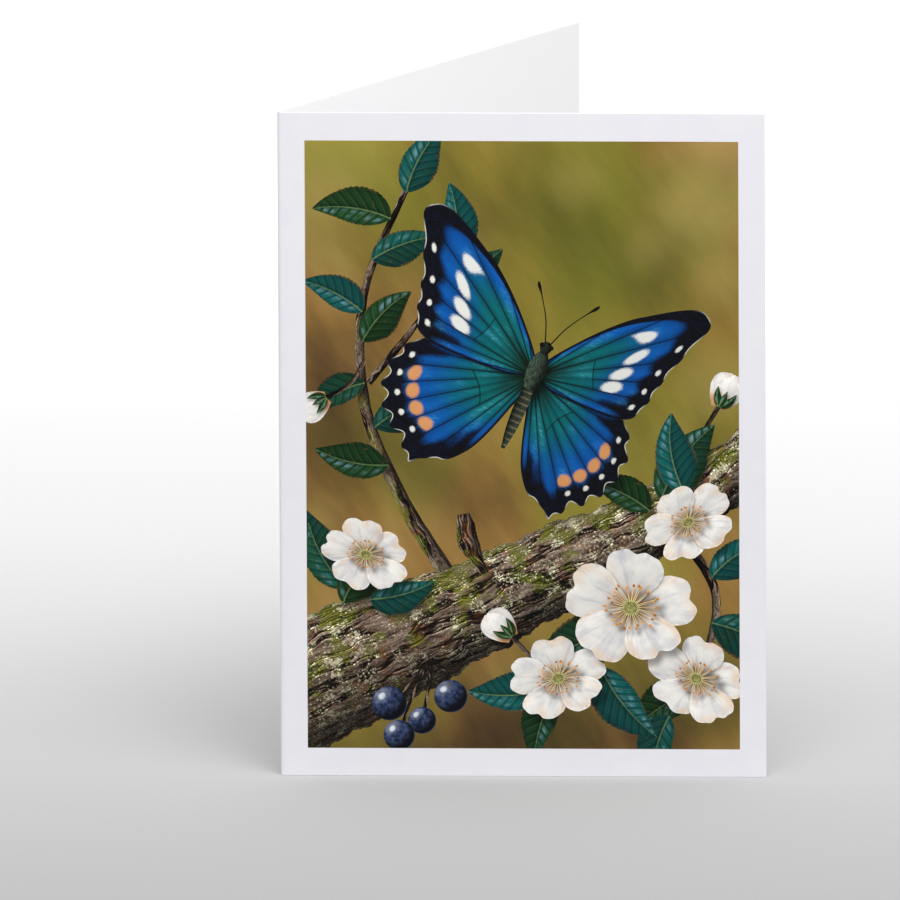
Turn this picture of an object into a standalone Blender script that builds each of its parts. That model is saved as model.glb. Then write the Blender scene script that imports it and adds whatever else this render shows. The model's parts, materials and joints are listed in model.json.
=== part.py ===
"""A folded greeting card of 5 by 7 inches, standing open on its bottom edges.

The card is one sheet of heavy paper board, folded once down its left side. It is modelled as
three solids: the back panel, the front panel (the cover) and the bead of the scored fold that
joins them. Units are metres, +Z is up. The front panel faces -Y, the fold stands at its left
end, and the back panel goes away from the fold towards +X and +Y. The origin is at the bottom
centre of the card's box, on the surface that the card stands on.
"""

import math

import bmesh
import bpy
from mathutils import Matrix, Vector

# Driving dimensions.
PANEL_WIDTH = 0.127  # folded edge to free edge, 5 inches
PANEL_HEIGHT = 0.1778  # 7 inches
BOARD = 0.0004  # thickness of the board, about 350 grams a square metre
OPENING = math.radians(53.5)  # angle between the two panels as the card stands
CLEARANCE = 0.0003  # between the fold's bead and each panel

# Worked out from them.
BEAD_RADIUS = BOARD  # the board's outer face bends round the crease at its own thickness
PANEL_START = BEAD_RADIUS + CLEARANCE  # crease to the near end of each panel
PANEL_END = PANEL_WIDTH - BEAD_RADIUS  # crease to the free edge of each panel

BEAD_SIDES = 24
BOARD_COLOUR = (0.84, 0.84, 0.87, 1.0)
BOARD_ROUGHNESS = 0.7


def clear_scene():
    """Removes whatever the startup scene holds."""
    for obj in list(bpy.data.objects):
        bpy.data.objects.remove(obj, do_unlink=True)


def new_collection(name):
    """A collection of that name, linked to the scene."""
    collection = bpy.data.collections.new(name)
    bpy.context.scene.collection.children.link(collection)
    return collection


def board_material(name):
    """White uncoated board, one material for each named piece."""
    material = bpy.data.materials.new(name)
    material.use_nodes = True
    shader = material.node_tree.nodes["Principled BSDF"]
    shader.inputs["Base Color"].default_value = BOARD_COLOUR
    shader.inputs["Roughness"].default_value = BOARD_ROUGHNESS
    shader.inputs["Metallic"].default_value = 0.0
    material.diffuse_color = BOARD_COLOUR
    return material


def add_object(name, mesh, collection):
    """An object of that name for the mesh, with a material of its own."""
    obj = bpy.data.objects.new(name, mesh)
    mesh.materials.append(board_material(name + "_board"))
    collection.objects.link(obj)
    return obj


def panel(name, outward, collection):
    """A flat panel along local +X from the crease, upright, its inner face in the plane y = 0.

    outward is 1 where the board's thickness lies towards local +Y, and -1 towards local -Y.
    """
    length = PANEL_END - PANEL_START
    middle = Vector(
        ((PANEL_START + PANEL_END) / 2, outward * BOARD / 2, PANEL_HEIGHT / 2)
    )
    size = Matrix.Diagonal((length, BOARD, PANEL_HEIGHT, 1.0))
    shape = bmesh.new()
    bmesh.ops.create_cube(shape, size=1.0, matrix=Matrix.Translation(middle) @ size)
    mesh = bpy.data.meshes.new(name)
    shape.to_mesh(mesh)
    shape.free()
    return add_object(name, mesh, collection)


def fold_bead(name, collection):
    """The ridge of the scored fold, a slim round bead standing on the crease."""
    shape = bmesh.new()
    bmesh.ops.create_cone(
        shape,
        cap_ends=True,
        segments=BEAD_SIDES,
        radius1=BEAD_RADIUS,
        radius2=BEAD_RADIUS,
        depth=PANEL_HEIGHT,
        matrix=Matrix.Translation((0.0, 0.0, PANEL_HEIGHT / 2)),
    )
    mesh = bpy.data.meshes.new(name)
    shape.to_mesh(mesh)
    shape.free()
    mesh.shade_smooth()
    mesh.set_sharp_from_angle(angle=math.radians(40.0))
    return add_object(name, mesh, collection)


def crease_place():
    """Where the crease stands, so that the card's box is centred on the origin."""
    back = Vector((math.cos(OPENING), math.sin(OPENING)))
    back_outward = Vector((-back.y, back.x))
    back_corner = back * PANEL_END + back_outward * BOARD
    left, right = -BEAD_RADIUS, PANEL_END
    near, far = -BOARD, back_corner.y
    return Vector((-(left + right) / 2, -(near + far) / 2, 0.0))


def build_card():
    """The whole card: the crease is an empty, and each panel's origin is on it."""
    collection = new_collection("greeting_card")
    crease = bpy.data.objects.new("crease", None)
    crease.location = crease_place()
    collection.objects.link(crease)

    front = panel("front_panel", -1, collection)
    back = panel("back_panel", 1, collection)
    back.rotation_euler.z = OPENING
    bead = fold_bead("fold_bead", collection)
    for piece in (front, back, bead):
        piece.parent = crease


clear_scene()
build_card()
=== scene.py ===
"""The looks of a folded greeting card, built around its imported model.

The card is one sheet of heavy white board, folded down its left side and standing half open on
its bottom edges. Its cover carries a print inside a white border: a butterfly over a flowering,
lichened bough. The print is one thin sheet of ink. Its shapes are laid over each other, cut into
a single flat mesh in which the uppermost shape owns each face, and finished by an ink for each
kind of shape. Lengths of the card are in metres, and lengths inside the print in millimetres.
"""

from __future__ import annotations

import json
import logging
import math
from collections.abc import Callable, Iterator, Sequence
from dataclasses import dataclass, field
from enum import Enum

import bmesh
import bpy
import numpy as np
from mathutils import Matrix, Quaternion, Vector
from mathutils.geometry import delaunay_2d_cdt

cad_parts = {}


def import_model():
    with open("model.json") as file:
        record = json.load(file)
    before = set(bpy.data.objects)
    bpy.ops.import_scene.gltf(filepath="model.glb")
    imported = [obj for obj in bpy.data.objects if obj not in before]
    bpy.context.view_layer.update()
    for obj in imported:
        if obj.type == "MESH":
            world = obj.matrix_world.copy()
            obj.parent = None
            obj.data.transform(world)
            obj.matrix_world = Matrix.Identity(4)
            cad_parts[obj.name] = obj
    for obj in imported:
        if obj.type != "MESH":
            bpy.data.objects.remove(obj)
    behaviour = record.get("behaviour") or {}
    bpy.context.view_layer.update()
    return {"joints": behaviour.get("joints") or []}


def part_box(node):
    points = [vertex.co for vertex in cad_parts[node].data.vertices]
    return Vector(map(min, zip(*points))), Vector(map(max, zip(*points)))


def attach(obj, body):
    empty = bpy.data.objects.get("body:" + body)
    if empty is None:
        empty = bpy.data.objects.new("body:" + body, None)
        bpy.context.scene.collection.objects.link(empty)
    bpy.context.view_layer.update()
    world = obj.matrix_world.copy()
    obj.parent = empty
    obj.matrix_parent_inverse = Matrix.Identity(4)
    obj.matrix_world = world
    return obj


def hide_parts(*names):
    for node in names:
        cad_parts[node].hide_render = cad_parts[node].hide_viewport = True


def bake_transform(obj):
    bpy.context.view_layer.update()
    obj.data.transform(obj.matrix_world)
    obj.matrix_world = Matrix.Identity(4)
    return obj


logging.basicConfig(level=logging.INFO, format="%(levelname)s %(message)s")
log = logging.getLogger("greeting_card")

MM = 0.001
TINY = 1e-9
BLACK, WHITE = (0.0, 0.0, 0.0, 1.0), (1.0, 1.0, 1.0, 1.0)
Colour = tuple[float, float, float, float]
Span = tuple[float, float]
Points = np.ndarray


def colour(*levels: int) -> Colour:
    """A printer's red, green and blue, from 0 to 255, as the linear light that they reflect."""
    shares = [level / 255 for level in levels]
    linear = [s / 12.92 if s <= 0.04045 else ((s + 0.055) / 1.055) ** 2.4 for s in shares]
    return (*linear, 1.0)


def placed(name: str, data: bpy.types.ID) -> bpy.types.Object:
    """An object of that data, in the scene."""
    made = bpy.data.objects.new(name, data)
    bpy.context.scene.collection.objects.link(made)
    return made


# ------------------------------------------------------------------ node graphs


def operator(operation: str, swapped: bool = False) -> Callable[[Socket, Number], Socket]:
    """An operator for Socket, which adds one Math node.

    Args:
        operation: what the node does.
        swapped: whether the socket is the second of the two values.

    Returns:
        The operator's method.
    """

    def method(self: Socket, other: Number) -> Socket:
        """Adds the node on these two values."""
        values = (other, self) if swapped else (self, other)
        return self.graph.math(operation, *values)

    return method


class Socket:
    """An output of a node, on which Python's arithmetic adds Math nodes."""

    def __init__(self, graph: Graph, socket: bpy.types.NodeSocket) -> None:
        """Wraps one output socket of the graph."""
        self.graph = graph
        self.socket = socket

    def __abs__(self) -> Socket:
        """The size of self without its sign."""
        return self.graph.math("ABSOLUTE", self)

    __add__ = __radd__ = operator("ADD")
    __mul__ = __rmul__ = operator("MULTIPLY")
    __sub__, __rsub__ = operator("SUBTRACT"), operator("SUBTRACT", swapped=True)
    __truediv__, __rtruediv__ = operator("DIVIDE"), operator("DIVIDE", swapped=True)
    __pow__, __rpow__ = operator("POWER"), operator("POWER", swapped=True)


Number = float | Socket
Place = Socket | tuple[Number, Number, Number]
Inputs = dict[str | int, object]


class Graph:
    """A node tree that is being built, for a material or for geometry."""

    def __init__(self, tree: bpy.types.NodeTree) -> None:
        """Starts with the nodes that the tree already has."""
        self.tree = tree

    @staticmethod
    def find(sockets: Sequence[bpy.types.NodeSocket], key: str | int) -> bpy.types.NodeSocket:
        """The socket with that number, identifier or name."""
        if isinstance(key, int):
            return sockets[key]
        named = [s for s in sockets if s.identifier == key] or [s for s in sockets if s.name == key]
        return named[0]

    def node(
        self,
        kind: str,
        inputs: Inputs | None = None,
        stops: Sequence[tuple[float, Colour]] = (),
        **settings: object,
    ) -> bpy.types.Node:
        """Adds one node.

        Args:
            kind: the node's type.
            inputs: a value or a Socket for each of its sockets that needs one.
            stops: the places and colours of a colour ramp, in order.
            settings: the node's own properties, which are set first.

        Returns:
            The new node.
        """
        made = self.tree.nodes.new(kind)
        for name, value in settings.items():
            setattr(made, name, value)
        if stops:
            elements = made.color_ramp.elements
            while len(elements) < len(stops):
                elements.new(1.0)
            for element, (place, tint) in zip(elements, stops):
                element.position = place
                element.color = tint
        self.feed(made, inputs or {})
        return made

    def feed(self, made: bpy.types.Node, inputs: Inputs) -> None:
        """Sets or links each of the node's sockets that the inputs name."""
        for key, value in inputs.items():
            socket = self.find(made.inputs, key)
            if isinstance(value, Socket):
                self.tree.links.new(value.socket, socket)
            else:
                socket.default_value = value

    def out(self, made: bpy.types.Node, key: str | int = 0) -> Socket:
        """One output of a node, ready for arithmetic."""
        return Socket(self, self.find(made.outputs, key))

    def math(self, operation: str, *values: Number) -> Socket:
        """A Math node on these values."""
        return self.out(self.node("ShaderNodeMath", dict(enumerate(values)), operation=operation))

    def most(self, first: Number, second: Number) -> Socket:
        """The greater of two numbers."""
        return self.math("MAXIMUM", first, second)

    def least(self, first: Number, second: Number) -> Socket:
        """The smaller of two numbers."""
        return self.math("MINIMUM", first, second)

    def clip(self, value: Number) -> Socket:
        """The value held between 0 and 1."""
        return self.out(self.node("ShaderNodeClamp", {"Value": value}))

    def ease(self, value: Number, low: Number, high: Number) -> Socket:
        """0 up to low, 1 from high on, and a smooth step between them."""
        step = {"Value": value, "From Min": low, "From Max": high}
        return self.out(self.node("ShaderNodeMapRange", step, interpolation_type="SMOOTHSTEP"))

    def fade(self, value: Number, low: Number, high: Number) -> Socket:
        """1 up to low, 0 from high on, and a smooth step between them."""
        return 1.0 - self.ease(value, low, high)

    def split(self, vector: Socket) -> tuple[Socket, Socket, Socket]:
        """The three numbers of a vector."""
        parts = self.node("ShaderNodeSeparateXYZ", {"Vector": vector})
        return self.out(parts, 0), self.out(parts, 1), self.out(parts, 2)

    def join(self, x: Number, y: Number, z: Number) -> Socket:
        """A vector of three numbers."""
        return self.out(self.node("ShaderNodeCombineXYZ", {"X": x, "Y": y, "Z": z}))


class Shader(Graph):
    """The node tree of a material, with its Principled shader in place."""

    def __init__(self, name: str) -> None:
        """A new material of that name."""
        self.material = bpy.data.materials.new(name)
        self.material.use_nodes = True
        super().__init__(self.material.node_tree)
        self.surface = self.tree.nodes["Principled BSDF"]

    def attribute(self, name: str) -> tuple[Socket, Socket, Socket]:
        """The three numbers that a piece's mesh carries under that name."""
        held = self.node("ShaderNodeAttribute", attribute_name=name)
        return self.split(self.out(held, "Vector"))

    def place(self) -> Socket:
        """Where the surface is in its piece's own space, in metres."""
        return self.out(self.node("ShaderNodeTexCoord"), "Object")

    def pattern(self, place: Place, size: float) -> Inputs:
        """A texture's place, as a vector or three numbers, and the size of its features."""
        vector = self.join(*place) if isinstance(place, tuple) else place
        return {"Vector": vector, "Scale": 1 / size}

    def noise(self, place: Place, size: float, detail: float = 2.0, rough: float = 0.5) -> Socket:
        """Soft noise from 0 to 1, whose features are about size across in the place's units."""
        inputs = {**self.pattern(place, size), "Detail": detail, "Roughness": rough}
        return self.out(self.node("ShaderNodeTexNoise", inputs))

    def cells(self, place: Place, size: float, feature: str = "F1") -> Socket:
        """The distance to the nearest seed of a field of cells, or to their edges."""
        made = self.node("ShaderNodeTexVoronoi", self.pattern(place, size), feature=feature)
        return self.out(made, "Distance")

    def mix(self, share: Number, under: Colour | Socket, over: Colour | Socket) -> Socket:
        """The colour over laid on the colour under, by that share."""
        inputs = {"Factor_Float": share, "A_Color": under, "B_Color": over}
        made = self.node("ShaderNodeMix", inputs, data_type="RGBA")
        return self.out(made, "Result_Color")

    def scaled(self, tint: Socket, level: Number) -> Socket:
        """The colour made lighter or darker by that level."""
        inputs = {0: tint, "Scale": level}
        return self.out(self.node("ShaderNodeVectorMath", inputs, operation="SCALE"), "Vector")

    def lit(self, tint: Colour, level: Number) -> Socket:
        """A plain colour made lighter or darker by that level."""
        flat = self.node("ShaderNodeRGB")
        flat.outputs[0].default_value = tint
        return self.scaled(self.out(flat), level)

    def ramp(self, value: Socket, *stops: tuple[float, Colour]) -> Socket:
        """The colour that a ramp has at that value."""
        return self.out(self.node("ShaderNodeValToRGB", {"Fac": value}, stops=stops), "Color")

    def bump(self, height: Socket, depth: float, strength: float) -> Socket:
        """The normals of a surface whose height goes from 0 to depth, in metres."""
        inputs = {"Height": height, "Distance": depth, "Strength": strength}
        return self.out(self.node("ShaderNodeBump", inputs), "Normal")

    def paint(self, **values: object) -> bpy.types.Material:
        """Sets or links the surface's sockets, which are named with _ for each space."""
        self.feed(self.surface, {name.replace("_", " "): value for name, value in values.items()})
        return self.material


class Grower(Graph):
    """A geometry tree that makes one plain mesh from its named inputs."""

    KINDS = {int: "Int", float: "Float"}

    def __init__(self, name: str, values: dict[str, object]) -> None:
        """A new tree with an input for each number or material."""
        super().__init__(bpy.data.node_groups.new(name, "GeometryNodeTree"))
        self.name = name
        self.values = values
        self.add_socket("Geometry", "OUTPUT", "Geometry")
        for label, value in values.items():
            self.add_socket(label, "INPUT", self.KINDS.get(type(value), "Material"))
        self.given = self.node("NodeGroupInput")

    def add_socket(self, label: str, side: str, kind: str) -> None:
        """Gives the tree an input or an output."""
        self.tree.interface.new_socket(label, in_out=side, socket_type=f"NodeSocket{kind}")

    def value(self, label: str) -> Socket:
        """The tree's input of that name."""
        return self.out(self.given, label)

    def random(self, low: float, high: float, seed: Number) -> Socket:
        """A number between low and high for each point."""
        inputs = {"Min_001": low, "Max_001": high, "Seed": seed}
        return self.out(self.node("FunctionNodeRandomValue", inputs, data_type="FLOAT"), 1)

    def after(
        self, shape: Socket, kind: str, inputs: Inputs | None = None, **settings: object
    ) -> Socket:
        """The shape once it has gone through one more node."""
        return self.out(self.node(kind, {0: shape, **(inputs or {})}, **settings))

    def grow(self, shape: Socket) -> bpy.types.Object:
        """Ends the tree with the shape, dressed in the input Finish if there is one.

        Returns:
            A plain mesh object of it, at the origin and with no modifier.
        """
        shape = self.after(shape, "GeometryNodeRealizeInstances")
        finish = {"Material": self.value("Finish")} if "Finish" in self.values else None
        shape = self.after(shape, "GeometryNodeSetMaterial", finish)
        self.node("NodeGroupOutput", {0: shape})
        grown = placed(self.name, bpy.data.meshes.new(self.name))
        modifier = grown.modifiers.new("shape", "NODES")
        modifier.node_group = self.tree
        for item in self.tree.interface.items_tree:
            if item.in_out == "INPUT":
                modifier[item.identifier] = self.values[item.name]
        made = grown.evaluated_get(bpy.context.evaluated_depsgraph_get())
        mesh = bpy.data.meshes.new_from_object(made)
        mesh.name = self.name
        grown.modifiers.clear()
        grown.data = mesh
        return grown


# ------------------------------------------------------------------ the card's board


@dataclass(frozen=True)
class BoardFinish:
    """Uncoated white board: fine tooth, faint cloudiness, a few long fibres and painted crease
    shade.

    Its sizes are in millimetres.
    """

    white: Colour = colour(239, 238, 243)
    shade: Colour = colour(237, 236, 242)
    inside: Colour = colour(243, 243, 244)
    painted_crease_shade: Colour = colour(221, 221, 228)
    roughness: float = 0.78
    tooth: float = 0.22
    fibre: float = 0.6
    cloud: float = 9.0
    relief: float = 0.012
    crease_shade_reach: float = 1.7

    def material(self) -> bpy.types.Material:
        """The board's material, laid out by the place on the sheet in millimetres."""
        shader = Shader("card_board")
        along, depth, up = shader.attribute("sheet")
        place = shader.join(along, depth * 3.0, up)
        cloud = shader.noise(place, self.cloud, detail=3.0)
        tooth = shader.noise(place, self.tooth, detail=3.0, rough=0.6)
        strands = (along * 0.25, depth, up * 1.6)
        fibre = shader.noise(strands, self.fibre, detail=4.0, rough=0.7)
        white = shader.mix(shader.ease(cloud, 0.35, 0.65), self.white, self.shade)
        white = shader.mix(shader.fade(depth, 0.02, 0.1), white, self.inside)
        # painted shade: the board darkens towards the crease, speckled by its tooth
        crease_shade_mask = shader.fade(abs(along), 0.0, self.crease_shade_reach)
        tint = shader.mix(crease_shade_mask * shader.ease(tooth, 0.3, 0.7), white, self.painted_crease_shade)
        height = tooth * 0.7 + fibre * 0.3
        return shader.paint(
            Base_Color=tint,
            Roughness=self.roughness + (tooth - 0.5) * 0.12,
            Specular_IOR_Level=0.3,
            Normal=shader.bump(height, self.relief * MM, strength=0.6),
        )


@dataclass
class FoldedBoard:
    """The card itself, one sheet folded once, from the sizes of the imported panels.

    The sheet is measured from its crease: along each panel, through the board and up the fold.
    Its bend has an inner radius, and is pinched thinner by a share that fades out along the
    panels. The back panel bows outwards, and the sheet's edges are chamfered.
    """

    crease: Vector
    panel: float
    height: float
    board: float
    opening: float
    chamfer: float = 0.11 * MM
    bend: float = 0.35 * MM
    pinch: float = 0.1
    pinch_reach: float = 2.0 * MM
    bow: float = 0.35 * MM
    columns: int = 65
    rows: int = 37
    finish: BoardFinish = field(default_factory=BoardFinish)

    LAYERS = 4
    FOLD_SHARE = 0.25
    CROWDING = 2.2
    MERGE = 0.001 * MM
    SHARP = math.radians(35)

    @classmethod
    def from_frame(cls, joint: dict) -> FoldedBoard:
        """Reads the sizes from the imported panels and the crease's place from their joint.

        Args:
            joint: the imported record's joint between the two panels.

        Returns:
            The board, not yet built.
        """
        front_low, front_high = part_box("front_panel")
        _, back_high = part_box("back_panel")
        crease = Vector(joint["pos_m"])
        board = front_high.y - front_low.y
        panel = front_high.x - crease.x
        opening = math.acos((back_high.x - crease.x) / panel)
        return cls(crease, panel, front_high.z - front_low.z, board, opening)

    def bent(self) -> bpy.types.Object:
        """Bends a fine box of unit size round the crease, which is left at the origin.

        Of the box's columns on each side of the crease, a share make the bend, and the rest
        crowd towards it along the panel. Two of its four layers are the board's faces, which
        stop a chamfer short of its edges, and a sine moves the other two to that depth.
        """
        sizes = {
            "Panel": self.panel,
            "Height": self.height,
            "Board": self.board,
            "Opening": self.opening,
            "Chamfer": self.chamfer,
            "Bend": self.bend,
            "Bow": self.bow,
            "Pinch": self.pinch,
            "Pinch Reach": self.pinch_reach,
        }
        graph = Grower("card_sheet", {**sizes, "Finish": self.finish.material()})
        values = (graph.value(label) for label in sizes)
        panel, height, board, opening, chamfer, bend, bow, pinch, pinch_reach = values
        counts = {"Vertices X": self.columns, "Vertices Y": self.LAYERS, "Vertices Z": self.rows}
        box = graph.out(graph.node("GeometryNodeMeshCube", counts))
        across, through, upward = graph.split(graph.out(graph.node("GeometryNodeInputPosition")))

        side = across * 2.0
        sign = graph.math("SIGN", side)
        layer = through + 0.5
        inset = (1 / (self.LAYERS - 1) - chamfer / board) / math.sin(math.tau / (self.LAYERS - 1))
        depth = layer - inset * graph.math("SINE", layer * math.tau)

        half_open = opening * 0.5
        lift = bend / graph.math("SINE", half_open)
        flat = panel - bend / graph.math("TANGENT", half_open)
        rest = graph.most((abs(side) - self.FOLD_SHARE) / (1 - self.FOLD_SHARE), 0.0)
        rest = rest**self.CROWDING
        near = graph.most(1.0 - rest * flat / pinch_reach, 0.0)
        thin = 1.0 - pinch * near * near
        is_face = graph.math("GREATER_THAN", abs(through), 0.4)
        skin = is_face * chamfer * thin
        length = graph.least(rest * flat, flat - skin) * sign

        turn = graph.least(abs(side) / self.FOLD_SHARE, 1.0) * sign
        half_bend = (math.pi - opening) * 0.5
        facing = math.pi + half_open + turn * half_bend
        facing_x, facing_y = graph.math("COSINE", facing), graph.math("SINE", facing)
        is_back = graph.math("LESS_THAN", side, 0.0)
        bulge = rest * (1.0 - rest) * 4.0 * bow * is_back
        out = bend + depth * board * thin + bulge
        rise = (upward + 0.5) * height
        spot = graph.join(
            facing_x * out - facing_y * length + lift * graph.math("COSINE", half_open),
            facing_y * out + facing_x * length + lift * graph.math("SINE", half_open),
            graph.most(graph.least(rise, height - skin), skin),
        )
        arc = turn * half_bend * (bend + board)
        place = graph.join((length + arc) / MM, depth * board / MM, rise / MM)
        mark = {"Name": "sheet", "Value": place}
        shape = graph.after(box, "GeometryNodeStoreNamedAttribute", mark, data_type="FLOAT_VECTOR")
        shape = graph.after(shape, "GeometryNodeSetPosition", {"Position": spot})
        shape = graph.after(shape, "GeometryNodeMergeByDistance", {"Distance": self.MERGE})
        shape = graph.after(shape, "GeometryNodeFlipFaces")
        return graph.grow(graph.after(shape, "GeometryNodeSetShadeSmooth"))

    def build(self) -> bpy.types.Object:
        """Makes the sheet on the crease and hides the imported panels and bead."""
        sheet = self.bent()
        sheet.data.transform(Matrix.Translation(self.crease))
        sheet.data.set_sharp_from_angle(angle=self.SHARP)
        half_open = self.opening / 2
        across = Vector((math.sin(half_open), -math.cos(half_open), 0.0))
        across *= (self.board + self.bend) * math.cos(half_open)
        start, end = self.crease - across, self.crease + across
        tuple(start)
        tuple(end)
        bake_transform(sheet)
        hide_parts("front_panel", "back_panel", "fold_bead")
        return sheet


# ------------------------------------------------------------------ shapes of the print


class Ink(Enum):
    """The inks of the print, in the order of its mesh's materials."""

    GROUND = 0
    BARK = 1
    LEAF = 2
    PETAL = 3
    STAMEN = 4
    BERRY = 5
    WING = 6
    BODY = 7


def heading(degrees: float) -> Points:
    """The unit vector that points that way, anticlockwise from the right."""
    return np.array((math.cos(math.radians(degrees)), math.sin(math.radians(degrees))))


def turned(degrees: float) -> Points:
    """The matrix that turns a shape anticlockwise."""
    across, up = heading(degrees)
    return np.array(((across, -up), (up, across)))


def squashed(degrees: float, share: float) -> Points:
    """The matrix that squashes a shape to that share of its size, along that direction."""
    turn = turned(degrees)
    return turn @ np.diag((share, 1.0)) @ turn.T


def smooth_line(knots: Sequence[Sequence[float]], count: int, closed: bool = False) -> Points:
    """Points along a smooth curve through the knots.

    Args:
        knots: the points that it goes through, with any number of values each.
        count: how many points to give back.
        closed: whether it comes round to its first knot again.

    Returns:
        An array with a row for each point.
    """
    knots = np.asarray(knots, float)
    if closed:
        padded = np.vstack((knots[-1], knots, knots[:2]))
    else:
        padded = np.vstack((2 * knots[0] - knots[1], knots, 2 * knots[-1] - knots[-2]))
    spans = len(padded) - 3
    place = np.linspace(0, spans, count, endpoint=not closed)
    span = np.minimum(place.astype(int), spans - 1)
    t = (place - span)[:, None]
    a, b, c, d = (padded[span + step] for step in range(4))
    return 0.5 * (
        2 * b + (c - a) * t + (2 * a - 5 * b + 4 * c - d) * t**2 + (3 * (b - c) + d - a) * t**3
    )


def no_zero(values: Points) -> Points:
    """The values with a tiny one in place of each that is zero, so that they can divide."""
    return np.where(np.abs(values) < TINY, TINY, values)


def nearest(points: Points, start: Points, along: Points) -> tuple[Points, Points, Points]:
    """The nearest to each point of some straight stretches.

    Args:
        points: the points.
        start: where each stretch starts.
        along: the way from its start to its end.

    Returns:
        The stretch's number, the share of the way along it, and the way from the point to it.
    """
    away = points[:, None] - start
    share = np.clip((away * along).sum(2) / np.maximum((along**2).sum(1), TINY), 0, 1)
    gap = share[..., None] * along - away
    number = np.hypot(gap[..., 0], gap[..., 1]).argmin(1)
    rows = np.arange(len(points))
    return number, share[rows, number], gap[rows, number]


def to_edges(points: Points, outline: Points) -> tuple[Points, Points, Points]:
    """How each point lies to a closed outline.

    Returns:
        The distance to the outline, whether the point is inside it, and the unit vector from
        the point to the nearest place on the outline.
    """
    along = np.roll(outline, -1, 0) - outline
    _, _, gap = nearest(points, outline, along)
    distance = np.hypot(*gap.T)
    x, y = np.moveaxis(points[:, None] - outline, 2, 0)
    along_x, along_y = along.T
    crosses = ((y >= 0) != (y >= along_y)) & (x < y / no_zero(along_y) * along_x)
    return distance, crosses.sum(1) % 2 == 1, gap / np.maximum(distance, TINY)[:, None]


def coverage(points: Points, outline: Points, soft: float) -> Points:
    """How much of a shape with a soft edge is seen at each point, from 0 to 1."""
    distance, inside, _ = to_edges(points, outline)
    depth = np.clip(np.where(inside, distance, -distance) / soft * 0.5 + 0.5, 0, 1)
    return depth**2 * (3 - 2 * depth)


def close_to(points: Points, outline: Points, reach: float) -> Points:
    """The numbers of the points in the outline's box, or within reach of it."""
    low, high = outline.min(0) - reach, outline.max(0) + reach
    return np.flatnonzero(((points > low) & (points < high)).all(1))


@dataclass
class Pose:
    """Where a shape lies in the print: its place, and a matrix for its turn, size and lean."""

    place: Sequence[float] = (0.0, 0.0)
    matrix: Points = field(default_factory=lambda: np.eye(2))

    def put(self, points: Points) -> Points:
        """The shape's own points, laid in the print."""
        return points @ self.matrix.T + np.asarray(self.place)

    def take(self, points: Points) -> Points:
        """Points of the print, as the shape itself measures them."""
        return (points - np.asarray(self.place)) @ np.linalg.inv(self.matrix).T

    def child(self, place: Sequence[float] = (0.0, 0.0), matrix: Points | None = None) -> Pose:
        """The pose of a part that has its own place and matrix inside this shape."""
        inner = self.matrix if matrix is None else self.matrix @ matrix
        return Pose(self.put(np.asarray(place, float)), inner)


@dataclass
class Ribbon:
    """A shape along a spine, such as a leaf, a twig or a body, with a half width at each side."""

    spine: Points
    left: Points
    right: Points

    THINNEST = 0.05

    @classmethod
    def even(cls, knots: Sequence[Sequence[float]], count: int, size: float) -> Ribbon:
        """A ribbon through knots that each give a place and a half width, all of that size."""
        x, y, half = smooth_line(knots, count).T * size
        return cls(np.stack((x, y), 1), half, half)

    def outline(self) -> Points:
        """Up the right side and back down the left one."""
        ahead = np.gradient(self.spine, axis=0)
        ahead /= np.maximum(np.linalg.norm(ahead, axis=1, keepdims=True), TINY)
        normal = np.stack((-ahead[:, 1], ahead[:, 0]), 1)
        right = self.spine - normal * self.right[:, None]
        left = self.spine + normal * self.left[:, None]
        return np.vstack((right, left[::-1]))

    def measure(self, points: Points) -> Points:
        """For each point: mm along, -1 to 1 across, the half width there and the share along."""
        along = np.diff(self.spine, axis=0)
        size = np.maximum(np.linalg.norm(along, axis=1), TINY)
        number, share, _ = nearest(points, self.spine[:-1], along)
        ahead_x, ahead_y = (along / size[:, None])[number].T
        away_x, away_y = (points - self.spine[number]).T
        offset = ahead_x * away_y - ahead_y * away_x
        step = number + share
        place = np.arange(len(self.spine))
        run = np.concatenate(((0.0,), np.cumsum(size)))
        length = np.interp(step, place, run)
        left, right = (np.interp(step, place, side) for side in (self.left, self.right))
        half = np.where(offset > 0, left, right)
        across = np.clip(offset / np.maximum(half, self.THINNEST), -1, 1)
        return np.stack((length, across, half, length / run[-1]), 1)


@dataclass
class Fan:
    """A shape spread from a root, such as a petal or a wing, measured by angle and distance.

    The step is the angle that counts as one, and the guide is a plainer rim from which the
    share of the way is measured, where the real one is scalloped.
    """

    rim: Points
    step: float = 1.0
    guide: Points | None = None

    SLACK = 1e-6

    def outline(self) -> Points:
        """The rim itself."""
        return self.rim

    def measure(self, points: Points) -> Points:
        """For each point: mm out, the angle in steps, mm from the rim and the share of the way."""
        out = np.maximum(np.linalg.norm(points, axis=1), self.SLACK)
        x, y = (points / out[:, None]).T[..., None]
        start = self.rim if self.guide is None else self.guide
        (start_x, start_y), (along_x, along_y) = start.T, (np.roll(start, -1, 0) - start).T
        facing = no_zero(x * along_y - y * along_x)
        reach = (start_x * along_y - start_y * along_x) / facing
        share = (start_x * y - start_y * x) / facing
        is_hit = (share >= -self.SLACK) & (share <= 1 + self.SLACK) & (reach > 0)
        rim = np.maximum(np.where(is_hit, reach, 0).max(1), out)
        distance, *_ = to_edges(points, self.rim)
        angle = np.arctan2(points[:, 1], points[:, 0]) / self.step
        return np.stack((out, angle, distance, out / rim), 1)


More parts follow.
